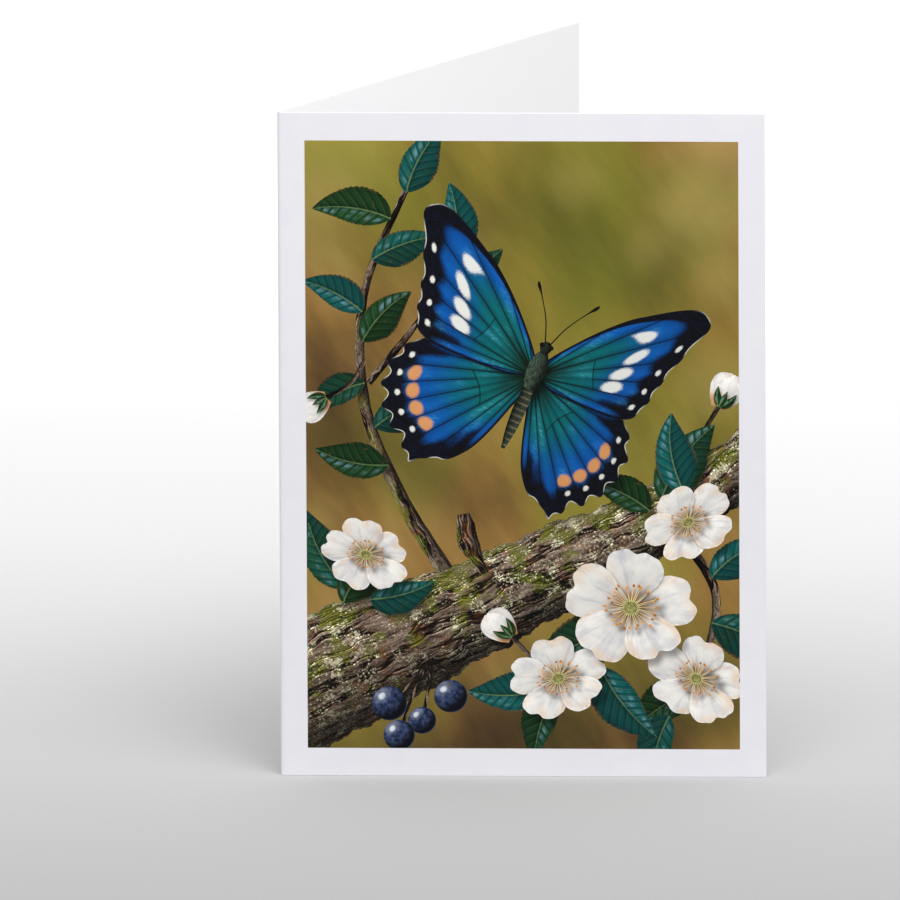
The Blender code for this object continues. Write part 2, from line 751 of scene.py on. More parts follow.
@dataclass
class Disc:
    """A round shape, such as a berry or an eye."""

    radius: float

    SIDES = 28

    def outline(self) -> Points:
        """A ring of corners."""
        turn = np.linspace(0, math.tau, self.SIDES, endpoint=False)
        return self.radius * np.stack((np.cos(turn), np.sin(turn)), 1)

    def measure(self, points: Points) -> Points:
        """For each point: -1 to 1 across, -1 to 1 up, the radius and 0."""
        size = np.full(len(points), self.radius)
        across, up = (points / self.radius).T
        return np.stack((across, up, size, size * 0), 1)


@dataclass
class Patch:
    """One shape of the print, in its ink, over the ones before it.

    The seed sets it apart from its neighbours in the same ink. The light is its brightness
    where nothing shades it, and the lift is how far over the ground it hangs, which sets how
    far its own shadow falls.
    """

    shape: Ribbon | Fan | Disc | Haze
    ink: Ink
    pose: Pose = field(default_factory=Pose)
    seed: float = 0.0
    light: float = 1.0
    lift: float = 0.0

    def outline(self) -> Points:
        """Its corners in the print, anticlockwise."""
        corners = self.pose.put(self.shape.outline())
        x, y = corners.T
        area = (x * np.roll(y, -1) - y * np.roll(x, -1)).sum()
        return corners if area > 0 else corners[::-1]

    def measure(self, points: Points) -> Points:
        """The place of each point in the shape, four numbers each."""
        return self.shape.measure(self.pose.take(points))


@dataclass
class Blur:
    """A far shape, out of focus, that makes the ground darker, greener or paler."""

    patch: Patch
    kind: int
    soft: float
    share: float

    DARK, GREEN, PALE = range(3)


@dataclass
class Haze:
    """The whole rectangle of the print, measured by the blurs that lie over each point."""

    width: float
    height: float
    blurs: Sequence[Blur]

    def outline(self) -> Points:
        """Its four corners."""
        corners = np.array(((-0.5, 0), (0.5, 0), (0.5, 1), (-0.5, 1)))
        return corners * (self.width, self.height)

    def measure(self, points: Points) -> Points:
        """For each point: how dark, how green and how pale the far shapes make it, and 0."""
        clear = np.ones((len(points), 4))
        for blur in self.blurs:
            seen = blur.share * coverage(points, blur.patch.outline(), blur.soft)
            clear[:, blur.kind] *= 1 - seen
        return 1 - clear


# ------------------------------------------------------------------ motifs of the print


@dataclass
class Leaf:
    """A pointed leaf with a toothed edge, and with one half broader than the other.

    It bends by so many degrees over its length, and runs along its aim at one share of it.
    """

    base: Sequence[float]
    aim: float
    length: float
    hue: float
    bend: float = 30.0
    light: float = 1.0
    lift: float = 8.0
    broad: float = 0.27
    teeth: int = 17

    COUNT = 86
    AIMED_AT = 0.35
    FULLEST, ROUND = 0.74, 0.92
    TOOTH = 0.07
    LEFT_HALF, RIGHT_HALF = 0.75, 1.1

    def patch(self) -> Patch:
        """The leaf as one ribbon."""
        t = np.linspace(0, 1, self.COUNT)
        turn = np.radians(self.bend * (t - self.AIMED_AT))
        steps = np.stack((np.cos(turn), np.sin(turn)), 1) * self.length / (self.COUNT - 1)
        spine = np.vstack(((0, 0), np.cumsum(steps[:-1], 0)))
        half = self.length * self.broad * np.sin(np.pi * t**self.FULLEST) ** self.ROUND
        half *= 1 - self.TOOTH * ((t * self.teeth) % 1.0) * np.sin(np.pi * t)
        shape = Ribbon(spine, half * self.LEFT_HALF, half * self.RIGHT_HALF)
        pose = Pose(self.base, turned(self.aim))
        return Patch(shape, Ink.LEAF, pose, self.hue, self.light, self.lift)


@dataclass
class Twig:
    """A woody stem through its knots, each of which gives a place and a half width.

    Its lumps are waves along each side, of so many radians a millimetre and their own sizes.
    """

    knots: Sequence[Sequence[float]]
    seed: float = 0.0
    lift: float = 6.0
    lumps: float = 0.12
    count: int = 60

    WAVES = np.array((0.32, 0.9, 2.1, 4.6))
    SIZES = np.array((0.45, 0.3, 0.16, 0.1))
    STALK_COUNT = 24

    @classmethod
    def stalk(
        cls, places: Sequence[Points], halves: Sequence[float], seed: float, lift: float
    ) -> Patch:
        """A thin smooth stalk through its places, with a half width at each."""
        knots = [(*place, half) for place, half in zip(places, halves)]
        return cls(knots, seed, lift, lumps=0.0, count=cls.STALK_COUNT).patch()

    def patch(self) -> Patch:
        """The stem as one ribbon with an uneven edge."""
        line = smooth_line(self.knots, self.count)
        steps = np.linalg.norm(np.diff(line[:, :2], axis=0), axis=1)
        run = np.concatenate(((0.0,), np.cumsum(steps)))[:, None]
        chance = np.random.default_rng(round(self.seed * 100))
        sides = []
        for _ in range(2):
            shift = chance.uniform(0, math.tau, len(self.WAVES))
            waves = np.sin(run * self.WAVES + shift)
            sides.append(line[:, 2] + self.lumps * (waves @ self.SIZES))
        shape = Ribbon(line[:, :2], *sides)
        return Patch(shape, Ink.BARK, seed=self.seed, lift=self.lift)


@dataclass
class StamenRing:
    """A ring of thin stamens with their anthers, which every blossom shares.

    Its lengths are shares of the blossom's radius. A thread and its anther are of unit size
    until each stamen gets its own length.
    """

    stamens: int = 30
    inner: float = 0.1
    longest: float = 0.34
    shortest: float = 0.55
    stray: float = 0.16
    seed: int = 4

    THREAD = {"Size X": 1.0, "Size Y": 0.028, "Vertices X": 2, "Vertices Y": 2}
    ANTHER = {"Vertices": 9, "Radius": 0.085}
    ANTHER_SCALE = (1.25, 0.85, 1.0)
    BREADTH = 0.8
    ANTHER_LIFT = 0.6
    TONES, TONE_RANGE, THREAD_TONE = 7, (0.55, 0.4), 0.3

    def __post_init__(self) -> None:
        """Grows the ring once and keeps its polygons."""
        ring = self.grown()
        mesh = ring.data
        self.polygons = [
            np.array([mesh.vertices[i].co[:2] for i in face.vertices]) for face in mesh.polygons
        ]
        bpy.data.objects.remove(ring)
        bpy.data.meshes.remove(mesh)

    def grown(self) -> bpy.types.Object:
        """Sets stamens of uneven length round a circle, each along its own +X."""
        sizes = {"Stamens": self.stamens, "Inner": self.inner, "Longest": self.longest}
        graph = Grower("stamen_ring", {**sizes, "Seed": self.seed})
        count, inner, longest, seed = (graph.value(label) for label in graph.values)
        roots = graph.node("GeometryNodeMeshCircle", {"Vertices": count, "Radius": inner})
        thread = graph.node("GeometryNodeMeshGrid", self.THREAD)
        anther = graph.node("GeometryNodeMeshCircle", self.ANTHER, fill_type="NGON")
        middle = {"Translation": (0.5, 0, 0)}
        tip = {"Translation": (1.0, 0, 0), "Scale": self.ANTHER_SCALE}
        stamen = graph.node("GeometryNodeJoinGeometry")
        for part, place in ((anther, tip), (thread, middle)):
            graph.feed(stamen, {0: graph.after(graph.out(part), "GeometryNodeTransform", place)})

        x, y, _ = graph.split(graph.out(graph.node("GeometryNodeInputPosition")))
        turn = graph.math("ARCTAN2", y, x) + graph.random(-self.stray, self.stray, seed)
        spin = graph.node("FunctionNodeEulerToRotation", {"Euler": graph.join(0.0, 0.0, turn)})
        length = graph.random(self.shortest, 1.0, seed + 1) * longest
        laid = {
            "Instance": graph.out(stamen),
            "Rotation": graph.out(spin),
            "Scale": graph.join(length, longest * self.BREADTH, 1.0),
        }
        return graph.grow(graph.after(graph.out(roots), "GeometryNodeInstanceOnPoints", laid))

    def patches(self, pose: Pose, lift: float) -> Iterator[Patch]:
        """The ring's threads and then its anthers, laid in that pose."""
        low, spread = self.TONE_RANGE
        for is_anther in (False, True):
            for number, corners in enumerate(self.polygons):
                if (len(corners) > 4) == is_anther:
                    middle = corners.mean(0)
                    own = low + spread * (number % self.TONES) / self.TONES
                    tone = own if is_anther else self.THREAD_TONE
                    height = lift + is_anther * self.ANTHER_LIFT
                    shape = Fan(corners - middle)
                    yield Patch(shape, Ink.STAMEN, pose.child(middle), tone, lift=height)


@dataclass
class Blossom:
    """A flower with five broad notched petals round a ring of stamens.

    A petal has a notch at the middle of its end, shoulders that fall away at its sides, and
    ripples, each with its waves and its depth. Its lengths are shares of the flower's radius.
    """

    centre: Sequence[float]
    radius: float
    turn: float
    tilt: float
    tilt_aim: float
    seed: int
    lift: float = 11.0

    PETALS = 5
    STRAY = 5.0
    HALF_ANGLE, RIM_COUNT, STEP = 41.0, 45, 10.0
    NOTCH, NOTCH_WIDTH, SHOULDER = 0.085, 0.16, 0.42
    WAVES = np.array(((3.5,), (8.0,), (17.0,)))
    DEPTHS = np.array((0.024, 0.012, 0.007))
    ROOT = 0.05 * np.array(((0.4, 1.0), (-0.6, 0.0), (0.4, -1.0)))
    PETAL_SIZES = (0.93, 1.04)
    BRIGHT, SHADED, LIT_FROM = 0.91, 0.08, 125
    HEART, HEART_TONE, HEART_LIGHT = 0.15, 0.1, 0.95
    PETAL_LIFT, HEART_LIFT, RING_LIFT = 0.5, 2.6, 3.4

    def petal_rim(self, wobble: Points) -> Points:
        """One petal along its own +X, from its narrow base round its notched end."""
        angle = np.radians(np.linspace(-self.HALF_ANGLE, self.HALF_ANGLE, self.RIM_COUNT))
        share = angle / angle[-1]
        notch = self.NOTCH * np.exp(-((share / self.NOTCH_WIDTH) ** 2))
        shoulder = self.SHOULDER * np.abs(share) ** 4
        ripple = self.DEPTHS @ np.sin(share * self.WAVES + wobble[:, None] * math.tau)
        reach = self.radius * (1 - notch - shoulder + ripple)
        arc = np.stack((np.cos(angle), np.sin(angle)), 1) * reach[:, None]
        return np.vstack((arc, self.radius * self.ROOT))

    def patches(self, ring: StamenRing) -> Iterator[Patch]:
        """The petals, the heart and its stamens, from the back to the front."""
        chance = np.random.default_rng(self.seed)
        body = Pose(self.centre, squashed(self.tilt_aim, self.tilt))
        for number in range(self.PETALS):
            stray = chance.uniform(-self.STRAY, self.STRAY)
            aim = self.turn + number * 360 / self.PETALS + stray
            petal = Fan(self.petal_rim(chance.random(3)), math.radians(self.STEP))
            light = self.BRIGHT - self.SHADED * float(heading(aim) @ heading(self.LIT_FROM))
            pose = body.child(matrix=turned(aim) * chance.uniform(*self.PETAL_SIZES))
            lift = self.lift + self.PETAL_LIFT * number
            yield Patch(petal, Ink.PETAL, pose, chance.random(), light, lift)
        heart, lift = Disc(self.radius * self.HEART), self.lift + self.HEART_LIFT
        yield Patch(heart, Ink.STAMEN, body, self.HEART_TONE, self.HEART_LIGHT, lift)
        spread = body.child(matrix=turned(self.turn) * self.radius)
        yield from ring.patches(spread, self.lift + self.RING_LIFT)


@dataclass
class Berries:
    """A loose bunch of berries of uneven size, each on its own stalk from one point.

    A stalk has a half width at its start, its bow and its end.
    """

    stem: Sequence[float]
    places: Sequence[Sequence[float]]
    radius: float = 4.6
    lift: float = 8.0

    HALVES = (0.55, 0.42, 0.5)
    STALK_SEED, STALK_DROP = 0.8, 1.0
    UNEVEN, UNEVEN_STEP = 0.12, 2.4
    SEED_STEP, LIFT_STEP = 0.37, 0.4

    def patches(self) -> Iterator[Patch]:
        """The stalks and then the berries."""
        start = np.asarray(self.stem, float)
        for number, end in enumerate(self.places):
            bow = (start + end) / 2 + (1.5 - number % 3, 1.0)
            places = (start, bow, end)
            yield Twig.stalk(places, self.HALVES, self.STALK_SEED, self.lift - self.STALK_DROP)
        for number, place in enumerate(self.places):
            wave = math.cos(number * self.UNEVEN_STEP)
            berry = Disc(self.radius * (1 - self.UNEVEN + self.UNEVEN * wave))
            seed = (number * self.SEED_STEP) % 1.0
            lift = self.lift + number * self.LIFT_STEP
            yield Patch(berry, Ink.BERRY, Pose(place), seed, lift=lift)


@dataclass
class Butterfly:
    """A butterfly from above with its wings spread, head towards its own +Y.

    Its shapes are in shares of its wing's length: a wing's knots are places, and the body's are
    places and half widths. Each pair of wings has its knots, seed, scallop and lift, and the
    lean narrows the wings on the right.
    """

    place: Sequence[float]
    wing: float
    turn: float
    lean: float = 0.86
    lift: float = 12.0

    VEIN_STEP = 0.15
    RIM_COUNT, SCALLOPS_FROM, SCALLOPS_FULL = 190, 0.72, 0.15
    FOREWING = (
        (0.01, 0.06), (0.22, 0.33), (0.50, 0.58), (0.80, 0.75), (0.98, 0.80), (1.03, 0.70),
        (0.95, 0.50), (0.88, 0.30), (0.82, 0.08), (0.72, -0.04), (0.42, -0.06), (0.12, -0.04),
    )
    HINDWING = (
        (0.01, -0.02), (0.30, 0.03), (0.60, 0.01), (0.79, -0.10), (0.87, -0.29), (0.83, -0.48),
        (0.73, -0.62), (0.60, -0.71), (0.53, -0.83), (0.44, -0.76), (0.31, -0.72), (0.17, -0.56),
        (0.06, -0.26),
    )
    WINGS = ((HINDWING, 0.8, 0.05, 0.0), (FOREWING, 0.2, 0.022, 1.6))
    FEELER = (
        (0.012, 0.21, 0.0042), (0.07, 0.36, 0.0036), (0.15, 0.49, 0.0036), (0.19, 0.545, 0.0105),
        (0.205, 0.57, 0.004),
    )
    BODY = (
        (((0, -0.04, 0.03), (0, -0.2, 0.042), (0, -0.36, 0.034), (0, -0.5, 0.012)), 0.5),
        (((0, -0.09, 0.03), (0, 0.0, 0.056), (0, 0.1, 0.054), (0, 0.17, 0.025)), 0.9),
        (((0, 0.15, 0.018), (0, 0.185, 0.036), (0, 0.215, 0.032), (0, 0.235, 0.01)), 0.3),
    )
    EYE, EYE_PLACE = 0.016, (0.03, 0.205)
    SHADED = 0.9
    FEELER_COUNT, FEELER_TONE, FEELER_LIGHT = 34, 0.1, 0.8
    BODY_COUNT, BODY_STEP = 26, 0.4
    FEELER_LIFT, BODY_LIFT, EYE_LIFT = 2, 3, 4

    def wing_shape(self, knots: Sequence[Sequence[float]], scallop: float) -> Fan:
        """A wing from its knots, with a shallow bay in its rim between each two veins."""
        guide = smooth_line(knots, self.RIM_COUNT, closed=True) * self.wing
        out = np.linalg.norm(guide, axis=1) / self.wing
        veins = np.arctan2(guide[:, 1], guide[:, 0]) / self.VEIN_STEP
        far = np.clip((out - self.SCALLOPS_FROM) / self.SCALLOPS_FULL, 0, 1)
        bay = scallop * far * np.sin(np.pi * veins) ** 2
        return Fan(guide * (1 - bay)[:, None], self.VEIN_STEP, guide)

    def patches(self) -> Iterator[Patch]:
        """Hindwings, forewings and then the body with its feelers."""
        body = Pose(self.place, turned(self.turn))
        for knots, seed, scallop, lift in self.WINGS:
            for stretch, light in ((-1.0, 1.0), (self.lean, self.SHADED)):
                pose = body.child(matrix=np.diag((stretch, 1.0)))
                shape = self.wing_shape(knots, scallop)
                yield Patch(shape, Ink.WING, pose, seed, light, self.lift + lift)
        yield from self.body_patches(body)

    def body_patches(self, body: Pose) -> Iterator[Patch]:
        """The feelers, abdomen, thorax, head and eyes."""
        lift = self.lift + self.FEELER_LIFT
        for side in (-1, 1):
            knots = [(x * side, y, half) for x, y, half in self.FEELER]
            feeler = Ribbon.even(knots, self.FEELER_COUNT, self.wing)
            yield Patch(feeler, Ink.BODY, body, self.FEELER_TONE, self.FEELER_LIGHT, lift)
        for number, (knots, seed) in enumerate(self.BODY):
            part = Ribbon.even(knots, self.BODY_COUNT, self.wing)
            lift = self.lift + self.BODY_LIFT + number * self.BODY_STEP
            yield Patch(part, Ink.BODY, body, seed, lift=lift)
        eye, lift = Disc(self.EYE * self.wing), self.lift + self.EYE_LIFT
        for side in (-1, 1):
            place = np.array(self.EYE_PLACE) * (side * self.wing, self.wing)
            yield Patch(eye, Ink.BODY, body.child(place), lift=lift)


@dataclass
class Bud:
    """A plump bud on its own curved stalk, held in a green cup.

    A stalk has a half width at its start, its bow and its end. Each petal has its place to one
    side and its light, and each sepal its swing and its length.
    """

    stem: Sequence[float]
    tip: Sequence[float]
    length: float
    hue: float
    lift: float = 9.0

    HALVES = (0.6, 0.5, 0.65)
    BOW = 0.12
    STALK_DROP, CUP_LIFT = 2, 0.8
    PETALS = ((-0.2, 0.82), (0.22, 0.93), (0.0, 1.0))
    PETAL_COUNT, PETAL_TONE = 30, 0.5
    SEPALS = ((-34, 0.62), (32, 0.6), (-3, 0.5))
    SEPAL_BEND, SEPAL_BROAD, SEPAL_TEETH = -1.2, 0.2, 1

    def patches(self) -> Iterator[Patch]:
        """The stalk, the furled petals and the cup's three sepals."""
        start, end = np.asarray(self.stem, float), np.asarray(self.tip, float)
        bow = (start + end) / 2 + (end - start)[::-1] * (-self.BOW, self.BOW)
        yield Twig.stalk((start, bow, end), self.HALVES, self.hue, self.lift - self.STALK_DROP)
        aim = math.degrees(math.atan2(*(end - bow)[::-1]))
        pose = Pose(self.tip, turned(aim))
        for side, light in self.PETALS:
            knots = [(0, 0, 0.2), (0.3, side * 0.4, 0.3), (0.7, side, 0.27), (1, side * 0.3, 0.02)]
            petal = Ribbon.even(knots, self.PETAL_COUNT, self.length)
            yield Patch(petal, Ink.PETAL, pose, self.PETAL_TONE + side, light, self.lift)
        for swing, share in self.SEPALS:
            bend = swing * self.SEPAL_BEND
            sepal = Leaf(self.tip, aim + swing, self.length * share, self.hue, bend)
            sepal.lift = self.lift + self.CUP_LIFT
            sepal.broad, sepal.teeth = self.SEPAL_BROAD, self.SEPAL_TEETH
            yield sepal.patch()


@dataclass
class CoverPicture:
    """The design on the cover, from its ground up, inside a rectangle of its own size.

    Its origin is at the middle of its bottom edge.
    """

    width: float
    height: float

    FAR_LEAVES = (
        ((58, 150), 215, 62, 0.8), ((24, 166), 250, 48, 0.6), ((60, 118), 160, 44, 0.5),
        ((-58, 160), -35, 60, 0.6), ((-20, 64), 150, 46, 0.5), ((-4, 70), 30, 50, 0.35),
        ((60, 4), 150, 60, 0.6), ((8, -4), 100, 44, 0.5), ((-60, 4), 20, 50, 0.7),
    )
    FAR_STEMS = (
        (((64, 166, 3), (36, 128, 3), (28, 86, 2), (34, 60, 3)), 0.45),
        (((-62, 96, 9), (-50, 84, 11), (-30, 78, 8), (-10, 62, 5)), 0.75),
        (((4, 170, 3), (-8, 140, 3), (-26, 118, 2), (-62, 108, 4)), 0.5),
        (((-20, -4, 6), (6, 6, 9), (30, 2, 8), (62, 14, 6)), 0.7),
    )
    FAR_LIGHTS = (
        (46, 146, 8, 0.6), (33, 134, 5, 0.35), (52, 126, 5, 0.4), (14, 152, 6, 0.4),
        (-50, 150, 7, 0.45), (-12, 132, 6, 0.25), (50, 98, 9, 0.5), (40, 84, 5, 0.35),
        (-52, 62, 5, 0.4), (-6, 20, 5, 0.3),
    )
    WOOD = (
        Twig(((40, 60, 1.4), (50, 42, 1.2), (47, 24, 1.0), (38, 8, 0.8)), 0.3, 5.0),
        Twig(((22, 54, 1.6), (29, 40, 1.4), (22, 26, 1.2), (8, 16, 0.9)), 0.6, 5.0),
        Twig(
            ((-18, 44, 2.4), (-31, 66, 1.9), (-41, 92, 1.5), (-41, 122, 1.1), (-30, 150, 0.8)),
            0.2, 5.0,
        ),
        Twig(((-40, 98, 1.0), (-26, 116, 0.8), (-17, 134, 0.6)), 0.4, 5.0),
        Twig(
            (
                (-66, 13, 19), (-40, 25, 16), (-14, 37, 13), (10, 49, 11.5), (34, 61, 9.5),
                (66, 82, 8),
            ),
            0.05, 6.0, lumps=1.0, count=260,
        ),
        Twig(((-10, 47, 1.0), (-14, 55, 2.6), (-15, 60, 2.2), (-15.5, 63, 1.6)), 0.8, 6.5, 0.3),
    )
    UPPER_LEAVES = (
        ((-35, 76), 172, 20, 0.15, -34, 0.8), ((-38.5, 86), 28, 20, 0.55, -44, 0.7, 7.0),
        ((-41, 98), 205, 17, 0.4, 32, 0.85), ((-41.5, 109), 52, 19, 0.2, -38, 0.8),
        ((-41.5, 117), 148, 18, 0.7, 30, 0.95), ((-39, 131), 24, 19, 0.5, -30, 0.9),
        ((-34, 142), 168, 21, 0.1, 34, 1.0), ((-30, 149), 66, 20, 0.6, -30, 0.95),
        ((-17, 133), 92, 19, 0.8, 26, 1.0), ((-20, 127), 20, 17, 0.35, 36, 0.85),
    )
    LOWER_LEAVES = (
        ((49, 34), -24, 24, 0.5, -34, 0.75), ((46, 16), 208, 22, 0.1, 34, 0.65),
        ((38, 9), 252, 19, 0.6, 30, 0.75), ((49, 46), 38, 20, 0.75, -44, 0.85),
        ((26, 31), 198, 25, 0.3, 38, 0.8), ((20, 22), -56, 24, 0.7, 28, 0.85),
        ((7, 16), 186, 22, 0.75, -30, 0.95), ((8, 15), 250, 19, 0.3, 24, 0.8),
        ((-46, 43), 122, 24, 0.45, -38, 0.9), ((-47, 39), 58, 23, 0.2, -28, 0.85),
        ((-40, 40), 12, 18, 0.6, 30, 0.9), ((36, 67), 60, 25, 0.35, -34, 0.85),
        ((42, 69), 104, 22, 0.8, -38, 0.95), ((33, 64), 150, 18, 0.15, 30, 0.8),
    )
    BERRIES = Berries((-24, 24), ((-35, 12), (-26.5, 7.5), (-32.5, 3.5), (-19, 14)))
    BUDS = (
        Bud((-41, 104), (-51, 94), 8.5, 0.3),
        Bud((14, 20), (-3, 30), 9.0, 0.15),
        Bud((46, 72), (51, 92), 9.5, 0.25),
    )
    BLOSSOMS = (
        Blossom((-41, 52), 12.0, turn=20, tilt=0.78, tilt_aim=70, seed=5),
        Blossom((43, 61), 12.5, turn=50, tilt=0.80, tilt_aim=120, seed=8),
        Blossom((45, 19), 13.5, turn=5, tilt=0.82, tilt_aim=60, seed=11),
        Blossom((9, 19), 13.5, turn=30, tilt=0.84, tilt_aim=105, seed=3),
        Blossom((28, 38), 17.0, turn=14, tilt=0.92, tilt_aim=75, seed=2, lift=13.0),
    )
    BUTTERFLY = Butterfly((3, 100), 42.0, -23.0)

    def patches(self) -> list[Patch]:
        """Every shape, from the back to the front."""
        ring = StamenRing()
        ground = Haze(self.width, self.height, list(self.blurs()))
        made = [Patch(ground, Ink.GROUND)]
        made += [twig.patch() for twig in self.WOOD]
        made += [Leaf(*row).patch() for row in self.UPPER_LEAVES]
        made += self.BERRIES.patches()
        for bud in self.BUDS:
            made += bud.patches()
        made += [Leaf(*row).patch() for row in self.LOWER_LEAVES]
        for blossom in self.BLOSSOMS:
            made += blossom.patches(ring)
        made += self.BUTTERFLY.patches()
        return made

    def blurs(self) -> Iterator[Blur]:
        """Far leaves, stems and lights in the ground, each with its share."""
        for base, aim, length, share in self.FAR_LEAVES:
            leaf = Leaf(base, aim, length, hue=0.0, bend=40.0, broad=0.3)
            yield Blur(leaf.patch(), Blur.GREEN, 7.0, share)
        for knots, share in self.FAR_STEMS:
            yield Blur(Twig(knots, 0.1, lumps=0.5).patch(), Blur.DARK, 9.0, share)
        for x, y, radius, share in self.FAR_LIGHTS:
            light = Patch(Disc(radius), Ink.GROUND, Pose((x, y)))
            yield Blur(light, Blur.PALE, 5.0, share)


# ------------------------------------------------------------------ inks of the print


@dataclass(frozen=True)
class PrintInk:
    """What every ink of the print shares: a satin surface on the board's tooth.

    A pattern is laid out by what each shape measures, and its size is in the same units.
    """

    roughness: float = 0.55
    gloss: float = 0.1
    grain: float = 0.2
    tooth: float = 0.25
    relief: float = 0.004

    def start(self, name: str) -> tuple[Shader, tuple[Socket, ...], tuple[Socket, ...]]:
        """A new material, with the place in the shape, and its light, its seed and a share."""
        shader = Shader(name)
        return shader, shader.attribute("motif"), shader.attribute("tone")

    def finish(self, shader: Shader, tint: Socket, level: Number = 1.0) -> bpy.types.Material:
        """Lays the tint on the board at that level of light."""
        tooth = shader.noise(shader.place(), self.tooth * MM)
        return shader.paint(
            Base_Color=shader.scaled(tint, level * (1.0 + (tooth - 0.5) * self.grain)),
            Roughness=self.roughness + (tooth - 0.5) * 0.1,
            Specular_IOR_Level=self.gloss,
            Normal=shader.bump(tooth, self.relief * MM, strength=0.5),
        )


@dataclass(frozen=True)
class GroundInk(PrintInk):
    """Undergrowth far out of focus: soft olive, brown and green with slanting streaks.

    It is a little lighter and greener above its middle height than below.
    """

    dark: Colour = colour(48, 36, 25)
    brown: Colour = colour(104, 78, 46)
    olive: Colour = colour(152, 117, 61)
    pale: Colour = colour(180, 148, 88)
    green: Colour = colour(132, 130, 42)
    leaf: Colour = colour(96, 104, 34)
    glare: Colour = colour(190, 170, 96)
    cloud: float = 42.0
    bush: float = 34.0
    streak: float = 16.0
    wisp: float = 2.6
    middle: float = 90.0

    def material(self) -> bpy.types.Material:
        """The ground's ink."""
        shader = Shader("print_ground")
        dark, green, pale = shader.attribute("motif")
        x, _, z = shader.split(shader.place())
        x, z = x / MM, z / MM
        cloud = shader.noise((x * 0.8, z * 0.6, 8.2), self.cloud, detail=1.0)
        slant = (x * 0.9 + z * 0.35, z * 0.28 - x * 0.12, 3.7)
        streak = shader.noise(slant, self.streak, rough=0.45)
        wisp = shader.noise((x * 0.7 + z * 0.5, z * 0.2 - x * 0.15, 5.1), self.wisp, detail=3.0)
        depth = (cloud - 0.5) * 1.3 + (streak - 0.5) * 0.8 + (wisp - 0.5) * 0.16
        depth = shader.clip(depth + 0.58 + (z - self.middle) * 0.0018)
        stops = ((0.06, self.dark), (0.3, self.brown), (0.58, self.olive), (0.92, self.pale))
        tint = shader.ramp(depth, *stops)
        bush = shader.noise((x * 0.7 - z * 0.2, z * 0.5, 21.0), self.bush, detail=1.0)
        leafy = shader.ease(bush + (z - self.middle) * 0.0012, 0.46, 0.66)
        tint = shader.mix(leafy * 0.62, tint, shader.lit(self.green, depth + 0.42))
        tint = shader.mix(green * 0.66, tint, shader.lit(self.leaf, depth + 0.6))
        tint = shader.mix(dark * 0.62, tint, self.dark)
        tint = shader.mix(pale * 0.55, tint, self.glare)
        return self.finish(shader, tint, 0.92 + wisp * 0.08)


@dataclass(frozen=True)
class BarkInk(PrintInk):
    """Weathered bark, lit from above: fissures along the wood, moss and flecks of lichen."""

    crack: Colour = colour(20, 15, 12)
    deep: Colour = colour(64, 48, 38)
    wood: Colour = colour(124, 106, 92)
    dry: Colour = colour(180, 164, 144)
    rust: Colour = colour(126, 72, 44)
    moss: Colour = colour(104, 110, 30)
    lichen: Colour = colour(214, 208, 174)
    drift: float = 7.0
    strand: float = 1.7
    crumb: float = 0.9
    plate: float = 3.4
    crust: float = 0.55
    moss_patch: float = 6.5
    rust_patch: float = 5.0
    fleck_patch: float = 8.0
    fleck: float = 0.85
    lichen_patch: float = 4.2

    def material(self) -> bpy.types.Material:
        """The bark's ink."""
        shader, (along, across, half), (light, seed, _) = self.start("print_bark")
        side = shader.math("ARCSINE", across * 0.985) * half
        drift = shader.noise((along, side, seed * 40), self.drift) - 0.5

        def height(shift: float) -> Socket:
            """How high the bark stands, a little way round the wood."""
            drifted = side + drift * 4.0 + shift
            fibres = (along * 0.22, drifted, seed * 40)
            grain = shader.noise(fibres, self.strand, detail=7.0, rough=0.62)
            crumbs = (along, drifted, seed * 40 + 7)
            crumb = shader.noise(crumbs, self.crumb, detail=4.0, rough=0.75)
            plates = (along * 0.13, drifted * 0.8, seed * 9 + 3)
            split = shader.ease(abs(shader.noise(plates, self.plate, detail=3.0) - 0.5), 0.0, 0.05)
            return grain * 0.62 + crumb * 0.38 + (split - 1.0) * 0.3

        high = height(0.0)
        relief = (high - height(0.2)) * 3.4
        stops = ((0.28, self.crack), (0.42, self.deep), (0.54, self.wood), (0.7, self.dry))
        tint = shader.ramp(high, *stops)
        place = shader.join(along, side, seed * 11 + 5)
        crust = shader.noise(place, self.crust, detail=3.0, rough=0.75)

        old = shader.ease(half, 0.6, 2.2)
        rusty = shader.noise(place, self.rust_patch, detail=4.0, rough=0.65) + crust * 0.2
        rusty = shader.ease(rusty, 0.62, 0.74) * old * 0.55
        tint = shader.mix(rusty, tint, shader.lit(self.rust, high * 2.0))
        mossy = shader.noise(place, self.moss_patch, detail=3.0, rough=0.6) + across * 0.1
        mossy = shader.ease(mossy, 0.5, 0.62) * shader.ease(crust, 0.30, 0.55) * old * 0.85
        tint = shader.mix(mossy, tint, shader.lit(self.moss, crust * 1.5 + 0.15))

        thick = shader.ease(half, 1.5, 4.0)
        spread = shader.noise(place, self.fleck_patch, detail=3.0, rough=0.6)
        flecks = shader.fade(shader.cells(place, self.fleck), 0.18, 0.42)
        flecks = flecks * shader.ease(spread + (crust - 0.5) * 0.4, 0.46, 0.60)
        spots = (along, side, seed * 7 + 9)
        crusty = shader.noise(spots, self.lichen_patch, detail=4.0, rough=0.65)
        crusty = shader.ease(crusty + (crust - 0.5) * 0.5, 0.57, 0.64)
        pale = shader.most(flecks, crusty) * 0.85 * thick
        tint = shader.mix(pale, tint, shader.lit(self.lichen, crust * 1.1 + 0.35))

        turn = shader.math("SQRT", 1.0 - across * across)
        level = shader.most(turn * 0.74 + across * 0.66, 0.0) * 1.05 + 0.13
        level = level * shader.most(1.0 + relief * 2.2, 0.25)
        return self.finish(shader, tint, level * light)


